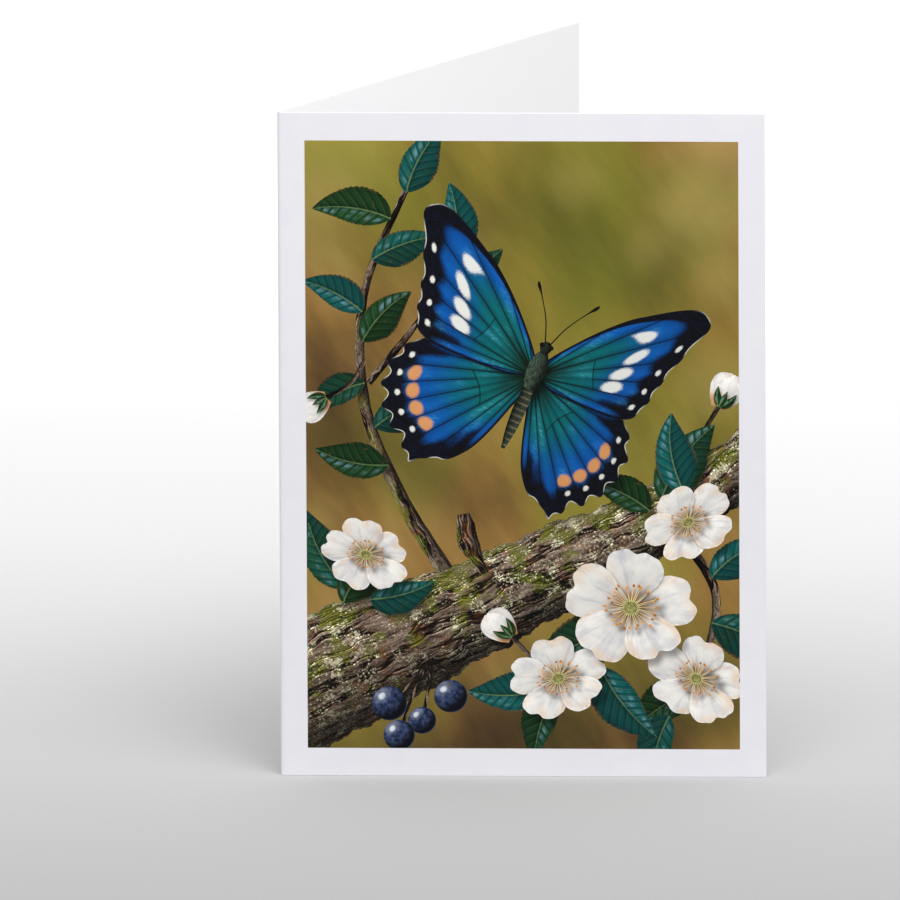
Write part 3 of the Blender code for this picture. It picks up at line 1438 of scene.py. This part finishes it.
@dataclass(frozen=True)
class LeafInk(PrintInk):
    """Glossy leaves, dark green to teal, with fine ribs, quilted flesh and a sheen of sky."""

    green: Colour = colour(28, 66, 32)
    teal: Colour = colour(10, 84, 82)
    rib: Colour = colour(118, 146, 92)
    sheen: Colour = colour(150, 196, 214)
    sear: Colour = colour(118, 84, 44)
    rib_gap: float = 2.5
    cloud: float = 3.5
    fleck: float = 0.5
    blister: float = 0.75
    shine: float = 2.4
    spot: float = 1.6

    def material(self) -> bpy.types.Material:
        """The leaves' ink."""
        shader, (along, across, half), (light, seed, share) = self.start("print_leaf")
        width = abs(across)
        out = width * half
        place = shader.join(along, across * half, seed * 60)
        cloud = shader.noise(place, self.cloud, detail=3.0)
        hue = shader.ease(seed + (cloud - 0.5) * 0.5, 0.2, 0.75)
        tint = shader.mix(hue, self.green, self.teal)

        phase = shader.math("FRACT", (along - out * 0.85) / self.rib_gap)
        blister = shader.cells(place, self.blister, "DISTANCE_TO_EDGE")
        quilt = 0.66 + 0.6 * phase * shader.ease(width, 0.0, 0.25) + blister * 0.35
        facing = 0.70 + 0.52 * shader.ease(across, -0.1, 0.1)
        curl = 1.0 - 0.3 * shader.ease(width, 0.55, 1.0)
        fleck = 0.85 + shader.noise(place, self.fleck) * 0.3
        tint = shader.scaled(tint, light * quilt * facing * curl * fleck)
        shine = shader.noise((along * 0.45, across * half, seed * 9), self.shine)
        band = shader.fade(abs(across - 0.42), 0.06, 0.42)
        gloss = shader.ease(shine, 0.42, 0.68) * band * shader.ease(phase, 0.15, 0.8)
        tint = shader.mix(gloss * light * 0.5, tint, self.sheen)

        taper = 1.15 - share * 0.85
        rib = shader.fade(out, taper * 0.08, taper * 0.27)
        line = abs(phase - 0.5) * self.rib_gap
        side_rib = shader.fade(line, 0.03, 0.16) * (0.42 - 0.32 * width)
        pale = shader.most(rib * 0.72, side_rib)
        tint = shader.mix(pale, tint, shader.lit(self.rib, light * facing))
        shadow = shader.ease(out, 0.2, 0.5) * shader.fade(out, 0.5, 1.3)
        tint = shader.scaled(tint, 1.0 - shadow * 0.22)

        edge = shader.ease(width, 0.86, 1.0) * shader.ease(cloud, 0.42, 0.62)
        spot = shader.ease(shader.noise(place, self.spot, detail=3.0, rough=0.6), 0.69, 0.73)
        sear = shader.most(edge * 0.5, spot * 0.7)
        tint = shader.mix(sear, tint, shader.lit(self.sear, light))
        return self.finish(shader, tint)


@dataclass(frozen=True)
class PetalInk(PrintInk):
    """Creamy white petals, apricot at the heart, with fine rays and cool shadows."""

    white: Colour = colour(251, 248, 241)
    cool: Colour = colour(190, 190, 202)
    apricot: Colour = colour(231, 170, 108)
    blush: Colour = colour(240, 206, 170)
    wave: float = 4.5
    fold: float = 0.9
    ray: float = 0.5
    warmth: float = 1.0

    def material(self) -> bpy.types.Material:
        """The petals' ink."""
        shader, (out, angle, rim), (light, seed, share) = self.start("print_petal")
        wave = shader.noise((out, angle * 2.0, seed * 30), self.wave)
        fold = shader.noise((share * 1.6, angle * 0.9, seed * 30 + 8), self.fold)
        rays = (share * 1.2, angle * 4.0, seed * 30)
        ray = shader.noise(rays, self.ray, detail=3.0, rough=0.6)
        warm = shader.noise((share * 2.0, angle * 0.5, seed * 30 + 3), self.warmth)
        tint = shader.mix(shader.ease(wave, 0.38, 0.72) * 0.4, self.white, self.cool)
        tint = shader.mix(shader.ease(fold, 0.5, 0.72) * 0.45, tint, self.cool)
        tip = shader.ease(warm, 0.42, 0.68) * shader.fade(rim, 0.4, 3.5)
        tint = shader.mix(tip * 0.6, tint, self.blush)
        heart = shader.fade(share + (ray - 0.5) * 0.25, 0.1, 0.5)
        tint = shader.mix(heart * 0.95, tint, self.apricot)
        level = light * (0.78 + 0.25 * shader.ease(share, 0.1, 0.75)) * (0.88 + ray * 0.24)
        return self.finish(shader, tint, level)


@dataclass(frozen=True)
class StamenInk(PrintInk):
    """The heart and threads of a blossom, yellow green to amber and brown."""

    tones: tuple[tuple[float, Colour], ...] = (
        (0.0, colour(142, 150, 54)),
        (0.3, colour(242, 226, 166)),
        (0.6, colour(224, 148, 58)),
        (0.95, colour(142, 80, 34)),
    )
    spot: float = 0.4
    bead: float = 0.32

    def material(self) -> bpy.types.Material:
        """The stamens' ink."""
        shader, (out, angle, _), (light, seed, _) = self.start("print_stamen")
        tint = shader.ramp(seed, *self.tones)
        spot = shader.noise((out, angle, seed * 20), self.spot)
        bead = shader.cells((out, angle, seed), self.bead)
        green = shader.fade(seed, 0.15, 0.25)
        level = (0.75 + spot * 0.5) * (1.1 - green * bead * 0.7)
        return self.finish(shader, tint, light * level)


@dataclass(frozen=True)
class BerryInk(PrintInk):
    """Round blue-black berries with a dusty bloom and one bright light."""

    skin: Colour = colour(24, 34, 70)
    bloom: Colour = colour(112, 132, 176)
    shine: Colour = colour(232, 238, 246)
    night: Colour = colour(7, 9, 18)
    dust: float = 0.3
    lamp: tuple[float, float, float] = (-0.5, 0.58, 0.64)
    gleam: tuple[float, float, float] = (-0.44, 0.44, 0.78)

    def material(self) -> bpy.types.Material:
        """The berries' ink."""
        shader, (x, y, _), (light, seed, _) = self.start("print_berry")
        z = shader.math("SQRT", shader.most(1.0 - x * x - y * y, 0.0))

        def facing(way: tuple[float, float, float]) -> Socket:
            """How squarely the berry's skin faces that way."""
            return x * way[0] + y * way[1] + z * way[2]

        lit = shader.clip(facing(self.lamp))
        dust = shader.noise((x, y, seed * 10), self.dust, detail=4.0, rough=0.65)
        tint = shader.mix(shader.ease(lit, 0.05, 0.9), self.night, self.skin)
        tint = shader.mix(shader.ease(dust, 0.36, 0.72) * lit * 0.62, tint, self.bloom)
        gleam = shader.ease(facing(self.gleam), 0.955, 0.998) * (0.35 + dust * 0.9)
        tint = shader.mix(gleam + shader.ease(lit, 0.72, 1.0) * 0.16, tint, self.shine)
        edge = shader.fade(z, 0.0, 0.45) * shader.clip(x * 0.7 - y * 0.7) * 0.4
        tint = shader.mix(edge, tint, self.bloom)
        return self.finish(shader, tint, light)


@dataclass(frozen=True)
class WingInk(PrintInk):
    """Scaled wings: green at the root, then teal and blue, with black veins and border.

    Each pair of spans is for the forewing and the hindwing, in angles counted in steps between
    veins: where the outer margin runs, where it is dotted, where the pale band or the apricot
    moons lie, and the veins that hold the cell in the middle. The cell reaches so many
    millimetres from the root. The band and the moons lie at their shares of the way to the rim.
    """

    root: Colour = colour(20, 46, 26)
    teal: Colour = colour(8, 108, 112)
    blue: Colour = colour(10, 92, 176)
    navy: Colour = colour(8, 40, 104)
    black: Colour = colour(10, 10, 13)
    sheen: Colour = colour(96, 196, 222)
    spot: Colour = colour(244, 244, 236)
    apricot: Colour = colour(232, 160, 86)
    margins: tuple[Span, Span] = ((0.0, 4.6), (-7.9, -0.7))
    dotted: tuple[Span, Span] = ((0.0, 4.0), (-6.0, -1.0))
    banded: tuple[Span, Span] = ((1.0, 5.0), (-6.0, -2.0))
    cells: tuple[Span, Span] = ((1.0, 4.0), (-6.0, -2.0))
    apex: Span = (2.6, 4.2)
    cell_reach: Span = (17.5, 14.5)
    band_share: Span = (0.64, 0.79)
    band_flat: Span = (0.34, 0.7)
    band_soft: tuple[Span, Span] = ((0.75, 1.25), (0.9, 1.5))
    dots_in: float = 2.5
    cloud: float = 7.0
    dust: float = 0.34
    silk: float = 0.8
    nap: float = 0.42
    vein_step: float = Butterfly.VEIN_STEP

    def material(self) -> bpy.types.Material:
        """The wings' ink."""
        shader, (out, angle, rim), (light, seed, share) = self.start("print_wing")
        cloud = shader.noise((out, angle * 4.0, seed * 10), self.cloud, detail=3.0)
        scales = (out * 1.4, angle * 2.0, seed * 5)
        dust = shader.noise(scales, self.dust, detail=3.0, rough=0.7)
        silk = shader.noise((out * 0.05, angle * 0.4, seed * 3), self.silk)
        naps = (out * 0.35, angle * out * 0.3, seed * 7)
        nap = shader.noise(naps, self.nap, detail=3.0, rough=0.65)
        hind = shader.ease(seed, 0.4, 0.6)
        between = shader.math("FRACT", angle)
        lane = abs(between - 0.5)
        side = lane * self.vein_step * out

        def either(values: Sequence[Socket]) -> Socket:
            """The forewing's value or the hindwing's."""
            fore_value, hind_value = values
            return fore_value * (1.0 - hind) + hind_value * hind

        def window(spans: tuple[Span, Span], soft: float) -> Socket:
            """1 inside each wing's own span of angles and 0 outside it."""
            rises = [shader.ease(angle, low - soft, low + soft) for low, _ in spans]
            falls = [shader.fade(angle, high - soft, high + soft) for _, high in spans]
            return either([rise * fall for rise, fall in zip(rises, falls)])

        def far(x: Socket, y: Socket) -> Socket:
            """The distance from a middle that is x and y away."""
            return shader.math("SQRT", x * x + y * y)

        margin, dotted = window(self.margins, 0.5), window(self.dotted, 0.05)
        banded, in_cell = window(self.banded, 0.05), window(self.cells, 0.04)
        outer = margin * shader.ease(share, 0.5, 0.7)

        zone = share + (cloud - 0.5) * 0.18 + (dust - 0.5) * 0.06
        tint = shader.mix(shader.ease(zone, 0.06, 0.36), self.root, self.teal)
        tint = shader.mix(shader.ease(zone, 0.36, 0.74), tint, self.blue)
        tint = shader.mix(shader.ease(zone, 0.76, 0.98), tint, self.navy)
        swell = shader.ease(between, 0.0, 0.45) * (1.0 - shader.ease(between, 0.5, 1.0) * 0.75)
        level = (0.58 + swell * 0.42 + (silk - 0.5) * 0.9) * (0.34 + dust * 0.66 + nap * 0.66)
        tint = shader.scaled(tint, level)
        glint = shader.ease(silk + (cloud - 0.5) * 0.4, 0.48, 0.68) * swell
        glint = glint * shader.ease(nap, 0.42, 0.66) * shader.ease(share, 0.15, 0.4)
        tint = shader.mix(glint * 0.55, tint, self.sheen)

        bows, walls = [], []
        for (low, high), reach in zip(self.cells, self.cell_reach):
            swing = angle - (low + high) / 2
            bows.append(out - reach - swing * swing * 0.4)
            wall = shader.least(*(abs(angle - edge) * self.vein_step for edge in (low, high)))
            walls.append(shader.fade(wall * out, 0.06, 0.28))
        bow = either(bows)
        beyond = shader.most(shader.ease(bow, -0.4, 0.1), 1.0 - in_cell)
        vein = shader.fade((0.5 - lane) * self.vein_step * out, 0.05, 0.26) * beyond
        vein = shader.most(vein, either(walls))
        vein = shader.most(vein, shader.fade(abs(bow), 0.06, 0.26) * in_cell)
        tint = shader.mix(vein * 0.82, tint, self.black)

        grit = (dust - 0.5) * 0.7
        reach = out / shader.most(share, 0.05)
        band, moons = (
            shader.fade(far(side * 0.62, (out - reach * at) * flat) + grit, *soft)
            for at, flat, soft in zip(self.band_share, self.band_flat, self.band_soft)
        )
        clear = banded * (1.0 - vein)
        tint = shader.mix(band * clear * (1.0 - hind) * 0.94, tint, self.spot)

        apex = shader.ease(share, 0.80, 0.98) * shader.ease(angle, *self.apex)
        width = outer * 3.2 + apex * 4.5
        ragged = (dust - 0.5) * 2.0 + (cloud - 0.5) * 3.0 + (0.25 - lane) * 2.4
        edge = rim + ragged * shader.most(outer, apex)
        border = shader.fade(edge, width + 0.3, width * 1.65 + 1.0)
        velvet = shader.lit(self.black, 0.3 + nap * 1.8)
        velvet = shader.mix(shader.ease(nap, 0.5, 0.75) * 0.35, velvet, self.navy)
        tint = shader.mix(border, tint, velvet)
        dots = shader.fade(far(side * 0.85, rim - self.dots_in) + grit, 0.45, 0.9)
        tint = shader.mix(dots * outer * dotted * 0.92, tint, self.spot)
        tint = shader.mix(moons * clear * hind * 0.9, tint, self.apricot)
        fringe = shader.fade(rim, 0.12, 0.34) * outer * shader.fade(lane, 0.15, 0.4)
        tint = shader.mix(fringe * 0.75, tint, self.spot)
        return self.finish(shader, tint, light)


@dataclass(frozen=True)
class BodyInk(PrintInk):
    """A furry dark body, greenish at the shoulders, with a banded abdomen."""

    dark: Colour = colour(16, 14, 13)
    fur: Colour = colour(76, 96, 78)
    band: Colour = colour(160, 138, 100)
    swirl: float = 1.5
    hair: float = 0.2
    band_gap: float = 1.7

    def material(self) -> bpy.types.Material:
        """The body's ink."""
        shader, (along, across, half), (light, seed, _) = self.start("print_body")
        side = across * half
        swirl = shader.noise((along, side, seed * 4), self.swirl) - 0.5
        hairs = (along * 0.16, side + swirl * 0.5, seed * 30)
        hair = shader.noise(hairs, self.hair, detail=3.0, rough=0.6)
        furry = shader.ease(hair, 0.3, 0.72) * shader.ease(seed, 0.0, 0.9)
        tint = shader.mix(furry, self.dark, self.fur)
        ring = shader.math("FRACT", along / self.band_gap)
        banded = shader.ease(ring, 0.5, 0.8) * shader.fade(ring, 0.84, 0.98)
        on_abdomen = shader.ease(seed, 0.35, 0.45) * shader.fade(seed, 0.6, 0.7)
        tint = shader.mix(banded * on_abdomen * (hair + 0.1) * 0.5, tint, self.band)
        turn = shader.math("SQRT", 1.0 - across * across * 0.98)
        level = 0.22 + 1.25 * shader.most(turn * 0.62 + across * 0.6, 0.0)
        return self.finish(shader, tint, level * light)


INKS = {
    Ink.GROUND: GroundInk(),
    Ink.BARK: BarkInk(),
    Ink.LEAF: LeafInk(),
    Ink.PETAL: PetalInk(),
    Ink.STAMEN: StamenInk(),
    Ink.BERRY: BerryInk(),
    Ink.WING: WingInk(),
    Ink.BODY: BodyInk(),
}


# ------------------------------------------------------------------ the print as one mesh


@dataclass
class CoverPrint:
    """The printed sheet on the cover, flat on the board inside a white border.

    Its points are a fine grid, of which the ground keeps only a few. The shapes are shaded as
    if a lamp stood at the upper left: each rolls over along its edges, and throws a soft shadow
    on those under it, as far as its lift takes it.
    """

    board: FoldedBoard
    fold_border: float = 7.45
    side_border: float = 6.9
    end_border: float = 7.5
    lift: float = 0.03
    fine: float = 0.75
    coarse_every: int = 3
    shadow_aim: float = -55.0
    shadow_depth: float = 0.62
    roll_reach: float = 1.6

    ROLL = {Ink.LEAF: 0.22, Ink.PETAL: 0.16, Ink.WING: 0.16, Ink.STAMEN: 0.3}
    LEAST_GAP, HIGHEST, SHADOW_PER_LIFT = 0.2, 4.0, 0.7
    SOFT, SOFT_PER_REACH = 0.35, 0.45
    DARKEST = 0.22
    INSET, NEAR = 0.5, 1.0
    ROW_SHARE, CLEAR_SHARE = 0.87, 0.3
    TRIANGLES, CUT_SLACK = 0, 1e-4
    CHART_SHARE = 0.985

    @property
    def size(self) -> tuple[float, float]:
        """Its width and height in millimetres."""
        across = (self.board.panel + self.board.board) / MM
        width = across - self.fold_border - self.side_border
        return width, self.board.height / MM - 2 * self.end_border

    def seeds(self, patches: Sequence[Patch], outlines: Sequence[Points]) -> Points:
        """Points inside the shapes, close together where the ink on top is a fine one."""
        width, height = self.size
        rows = np.arange(self.INSET, height, self.fine * self.ROW_SHARE)
        columns = np.arange(self.INSET - width / 2, width / 2, self.fine)
        row, column = (grid.ravel() for grid in np.indices((len(rows), len(columns))))
        points = np.stack((columns[column] + (row % 2) * self.fine / 2, rows[row]), 1)
        owner = np.zeros(len(points), int)
        clear = np.full(len(points), np.inf)
        for index, outline in enumerate(outlines[1:], 1):
            box = close_to(points, outline, self.NEAR)
            distance, inside, _ = to_edges(points[box], outline)
            owner[box[inside]] = index
            clear[box] = np.minimum(clear[box], distance)
        plain = np.array([patch.ink is Ink.GROUND for patch in patches])[owner]
        keep = ~plain | ((row + column) % self.coarse_every == 0)
        return points[keep & (clear > self.fine * self.CLEAR_SHARE)]

    def shade(
        self, patches: Sequence[Patch], outlines: Sequence[Points], index: int, points: Points
    ) -> Points:
        """How much light each point of one shape gets past the shapes that lie over it."""
        patch = patches[index]
        light = np.full(len(points), patch.light)
        if patch.ink is Ink.GROUND:
            return light
        distance, _, toward = to_edges(points, outlines[index])
        facing = toward @ heading(self.shadow_aim + 180)
        light *= 1 + self.ROLL.get(patch.ink, 0.0) * facing * np.exp(-distance / self.roll_reach)
        for upper, outline in zip(patches[index + 1 :], outlines[index + 1 :]):
            gap = upper.lift - patch.lift
            if gap > self.LEAST_GAP:
                reach = min(gap, self.HIGHEST) * self.SHADOW_PER_LIFT
                soft = self.SOFT + self.SOFT_PER_REACH * reach
                shadow = outline + heading(self.shadow_aim) * reach
                box = close_to(points, shadow, soft)
                light[box] *= 1 - self.shadow_depth * coverage(points[box], shadow, soft)
        return np.maximum(light, self.DARKEST)

    def build(self) -> bpy.types.Object:
        """Makes the print and lays it on the cover.

        Each corner of its faces carries what its shape's ink reads: the attribute motif holds
        three of the shape's measures, and tone the light, the seed and the fourth measure.
        """
        patches = CoverPicture(*self.size).patches()
        outlines = [patch.outline() for patch in patches]
        starts = np.cumsum([0] + [len(outline) for outline in outlines])
        rings = [list(range(first, last)) for first, last in zip(starts, starts[1:])]
        points = [Vector(point) for point in np.vstack((*outlines, self.seeds(patches, outlines)))]
        cut = delaunay_2d_cdt(points, [], rings, self.TRIANGLES, self.CUT_SLACK, True)
        spots, _, triangles, _, _, covers = cut
        flat = np.array([tuple(spot) for spot in spots])
        kept = [(face, max(over)) for face, over in zip(triangles, covers) if 0 in over]
        faces, owner = (np.array(values) for values in zip(*kept))
        motif = np.zeros((len(faces), 3, 3))
        tone = np.zeros((len(faces), 3, 3))
        for index in np.unique(owner):
            mine = np.flatnonzero(owner == index)
            used, where = np.unique(faces[mine], return_inverse=True)
            where = where.reshape(-1, 3)
            measured = patches[index].measure(flat[used])
            motif[mine] = measured[where, :3]
            tone[mine, :, 0] = self.shade(patches, outlines, index, flat[used])[where]
            tone[mine, :, 1] = patches[index].seed
            tone[mine, :, 2] = measured[where, 3]
        inks = np.array([patch.ink.value for patch in patches])[owner]
        return self.lay(flat, faces, inks, {"motif": motif, "tone": tone})

    def lay(
        self, flat: Points, faces: Points, inks: Points, marks: dict[str, Points]
    ) -> bpy.types.Object:
        """The cut shapes as one mesh on the cover.

        Args:
            flat: the mesh's points in the print.
            faces: three point numbers for each face.
            inks: the ink of each face.
            marks: what each corner carries, by attribute name.

        Returns:
            The print, riding on the cover.
        """
        used, faces = np.unique(faces, return_inverse=True)
        flat, faces, depth = self.thicken(flat[used], faces.reshape(-1, 3))
        hidden = len(faces) - len(inks)
        left = (self.board.crease.x - self.board.board) / MM + self.fold_border + self.size[0] / 2
        front = (self.board.crease.y - self.board.board) / MM - self.lift
        place = np.stack((flat[:, 0] + left, front + depth, flat[:, 1] + self.end_border), 1)
        mesh = bpy.data.meshes.new("cover_print")
        mesh.from_pydata((place * MM).tolist(), [], faces.tolist())
        for ink in Ink:
            mesh.materials.append(INKS[ink].material())
        slots = np.append(inks, np.full(hidden, Ink.GROUND.value))
        mesh.polygons.foreach_set("material_index", slots.astype(np.int32))
        for name, values in marks.items():
            mark = mesh.attributes.new(name, "FLOAT_VECTOR", "CORNER")
            values = np.vstack((values, np.zeros((hidden, 3, 3))))
            mark.data.foreach_set("vector", values.reshape(-1).astype(np.float32))
        self.chart(mesh, flat[faces], hidden)
        printed = placed("cover_print", mesh)
        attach(printed, "cover")
        return printed

    def chart(self, mesh: bpy.types.Mesh, corners: Points, hidden: int) -> None:
        """Gives the mesh its map for baking, with the hidden faces in a strip at the right."""
        spread = (corners / self.size + (0.5, 0.0)) * (self.CHART_SHARE, 1.0)
        strip = spread[len(spread) - hidden :, :, 0]
        strip[:] = 1 - (1 - strip) * (1 - self.CHART_SHARE)
        chart = mesh.uv_layers.new(name="OFBake")
        chart.data.foreach_set("uv", spread.reshape(-1).astype(np.float32))

    def thicken(self, flat: Points, faces: Points) -> tuple[Points, Points, Points]:
        """Closes the flat sheet into a slab as thin as ink, with a wall and a back.

        The sheet's rim is the edges that only one face uses. The wall goes back from it, and
        the back is a fan of triangles from its own rim to its middle.

        Args:
            flat: the sheet's points.
            faces: three point numbers for each face.

        Returns:
            The points with the back's own added, the faces with the wall's and the back's
            added, and how deep each point lies behind the front.
        """
        edges = np.vstack((faces[:, (0, 1)], faces[:, (1, 2)], faces[:, (2, 0)]))
        keys = np.sort(edges, 1) @ (len(flat), 1)
        _, first, uses = np.unique(keys, return_index=True, return_counts=True)
        start, end = edges[first[uses == 1]].T
        ring = np.unique(start)
        behind = np.zeros(len(flat), int)
        behind[ring] = np.arange(len(ring)) + len(flat)
        middle = np.full(len(start), len(flat) + len(ring))
        added = (
            np.stack((end, start, behind[start]), 1),
            np.stack((end, behind[start], behind[end]), 1),
            np.stack((behind[end], behind[start], middle), 1),
        )
        points = np.vstack((flat, flat[ring], flat[ring].mean(0)))
        depth = np.where(np.arange(len(points)) < len(flat), 0.0, self.lift)
        return points, np.vstack((faces, *added)), depth


# ------------------------------------------------------------------ the studio


def aim(
    made: bpy.types.Object, target: Vector, forward: Vector, distance: float, roll: float = 0.0
) -> None:
    """Puts a lamp or a camera that far from its target, looking along forward."""
    made.location = target - forward * distance
    made.rotation_mode = "QUATERNION"
    made.rotation_quaternion = Quaternion(forward, roll) @ forward.to_track_quat("-Z", "Y")


@dataclass(frozen=True)
class Lamp:
    """A round soft lamp that points at the foot of the card's fold.

    It hangs a distance away, turned from the front towards the right, and raised above the floor.
    """

    name: str
    size: float
    distance: float
    turn: float
    rise: float
    power: float

    def hang(self, foot: Vector) -> None:
        """Makes the lamp, pointing at that place."""
        light = bpy.data.lights.new(self.name, "AREA")
        light.shape = "DISK"
        light.size = self.size
        light.energy = self.power
        turn, rise = math.radians(self.turn), math.radians(self.rise)
        level = math.cos(rise)
        forward = Vector((-math.sin(turn) * level, math.cos(turn) * level, -math.sin(rise)))
        aim(placed(self.name, light), foot, forward, self.distance)


@dataclass
class Studio:
    """A pale floor that fades to white behind the card, soft light and the camera.

    The painted shade goes from the near tone to the far one between two places in depth.
    The painted glow rises twice on the way back, and each rise has its two places and its share.
    """

    crease: Vector
    floor_size: float = 8.0
    # painted shade: the floor's colour fades from this grey at the front to white behind the card
    shaded_near_tone: Colour = colour(169, 169, 170)
    far_tone: Colour = colour(252, 252, 252)
    # painted light: the floor glows, rising twice towards the back
    fade: Span = (-0.25, 0.445)
    glow: float = 0.4
    glow_rises: tuple[tuple[float, float, float], ...] = ((-0.02, 0.24, 0.27), (0.28, 0.8, 0.73))
    sky: float = 0.765
    lamps: tuple[Lamp, ...] = (
        Lamp("key", size=0.6, distance=1.3, turn=44, rise=66, power=3.7),
        Lamp("top", size=0.5, distance=0.75, turn=10, rise=56, power=1.75),
    )

    FLOOR_SQUARES = 8
    DISTANCE = 10.0
    PITCH = math.radians(14.03)
    TURN = math.radians(2.06)
    ROLL = math.radians(0.28)
    LENS = 1537.6
    SIGHT = (0.1, 50.0)
    AIM_ALONG = 0.04444
    AIM_UP = 0.0871

    def build(self) -> None:
        """Makes the floor, the lights and the camera."""
        self.lay_floor()
        self.light_up()
        self.place_camera()

    def lay_floor(self) -> None:
        """A wide flat floor with painted shade at the front and a faint painted glow at the back.
        """
        mesh = bpy.data.meshes.new("floor")
        shape = bmesh.new()
        squares = self.FLOOR_SQUARES
        bmesh.ops.create_grid(shape, x_segments=squares, y_segments=squares, size=self.floor_size)
        shape.to_mesh(mesh)
        shape.free()
        floor = placed("floor", mesh)
        shader = Shader("floor_painted_shade_and_glow")
        _, away, _ = shader.split(shader.place())
        near, far = self.fade
        # painted shade: the floor is darker towards the front
        tone = shader.mix(shader.clip((away - near) / (far - near)), self.shaded_near_tone, self.far_tone)
        # painted light: the floor's own glow, stronger towards the back
        rises = [shader.ease(away, *span) * share for *span, share in self.glow_rises]
        mesh.materials.append(
            shader.paint(
                Base_Color=tone,
                Roughness=0.9,
                Specular_IOR_Level=0.1,
                Emission_Color=shader.mix(rises[0] + rises[1], BLACK, WHITE),
                Emission_Strength=self.glow,
            )
        )

    def light_up(self) -> None:
        """Hangs the lamps in an even white surround."""
        world = bpy.data.worlds.new("surround")
        bpy.context.scene.world = world
        world.use_nodes = True
        surround = world.node_tree.nodes["Background"].inputs
        surround["Color"].default_value = WHITE
        surround["Strength"].default_value = self.sky
        for lamp in self.lamps:
            lamp.hang(self.crease)

    def place_camera(self) -> None:
        """A long lens, a little above the card and nearly square to its cover."""
        lens = bpy.data.cameras.new("camera")
        lens.lens = self.LENS
        lens.clip_start, lens.clip_end = self.SIGHT
        camera = placed("camera", lens)
        turn = Quaternion((0, 0, 1), self.TURN)
        forward = turn @ Vector((0, math.cos(self.PITCH), -math.sin(self.PITCH)))
        target = self.crease + turn @ Vector((self.AIM_ALONG, 0, self.AIM_UP))
        aim(camera, target, forward, self.DISTANCE, self.ROLL)
        bpy.context.scene.camera = camera
        bpy.context.scene.view_settings.view_transform = "Standard"


def main() -> None:
    """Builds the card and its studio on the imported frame."""
    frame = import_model()
    board = FoldedBoard.from_frame(frame["joints"][0])
    log.info("opening %.2f degrees, panel %.2f mm", math.degrees(board.opening), board.panel / MM)
    for piece in (board.build(), CoverPrint(board).build()):
        log.info("%s: %d faces", piece.name, len(piece.data.polygons))
    Studio(board.crease).build()
    bpy.context.view_layer.update()


if __name__ == "__main__":
    main()
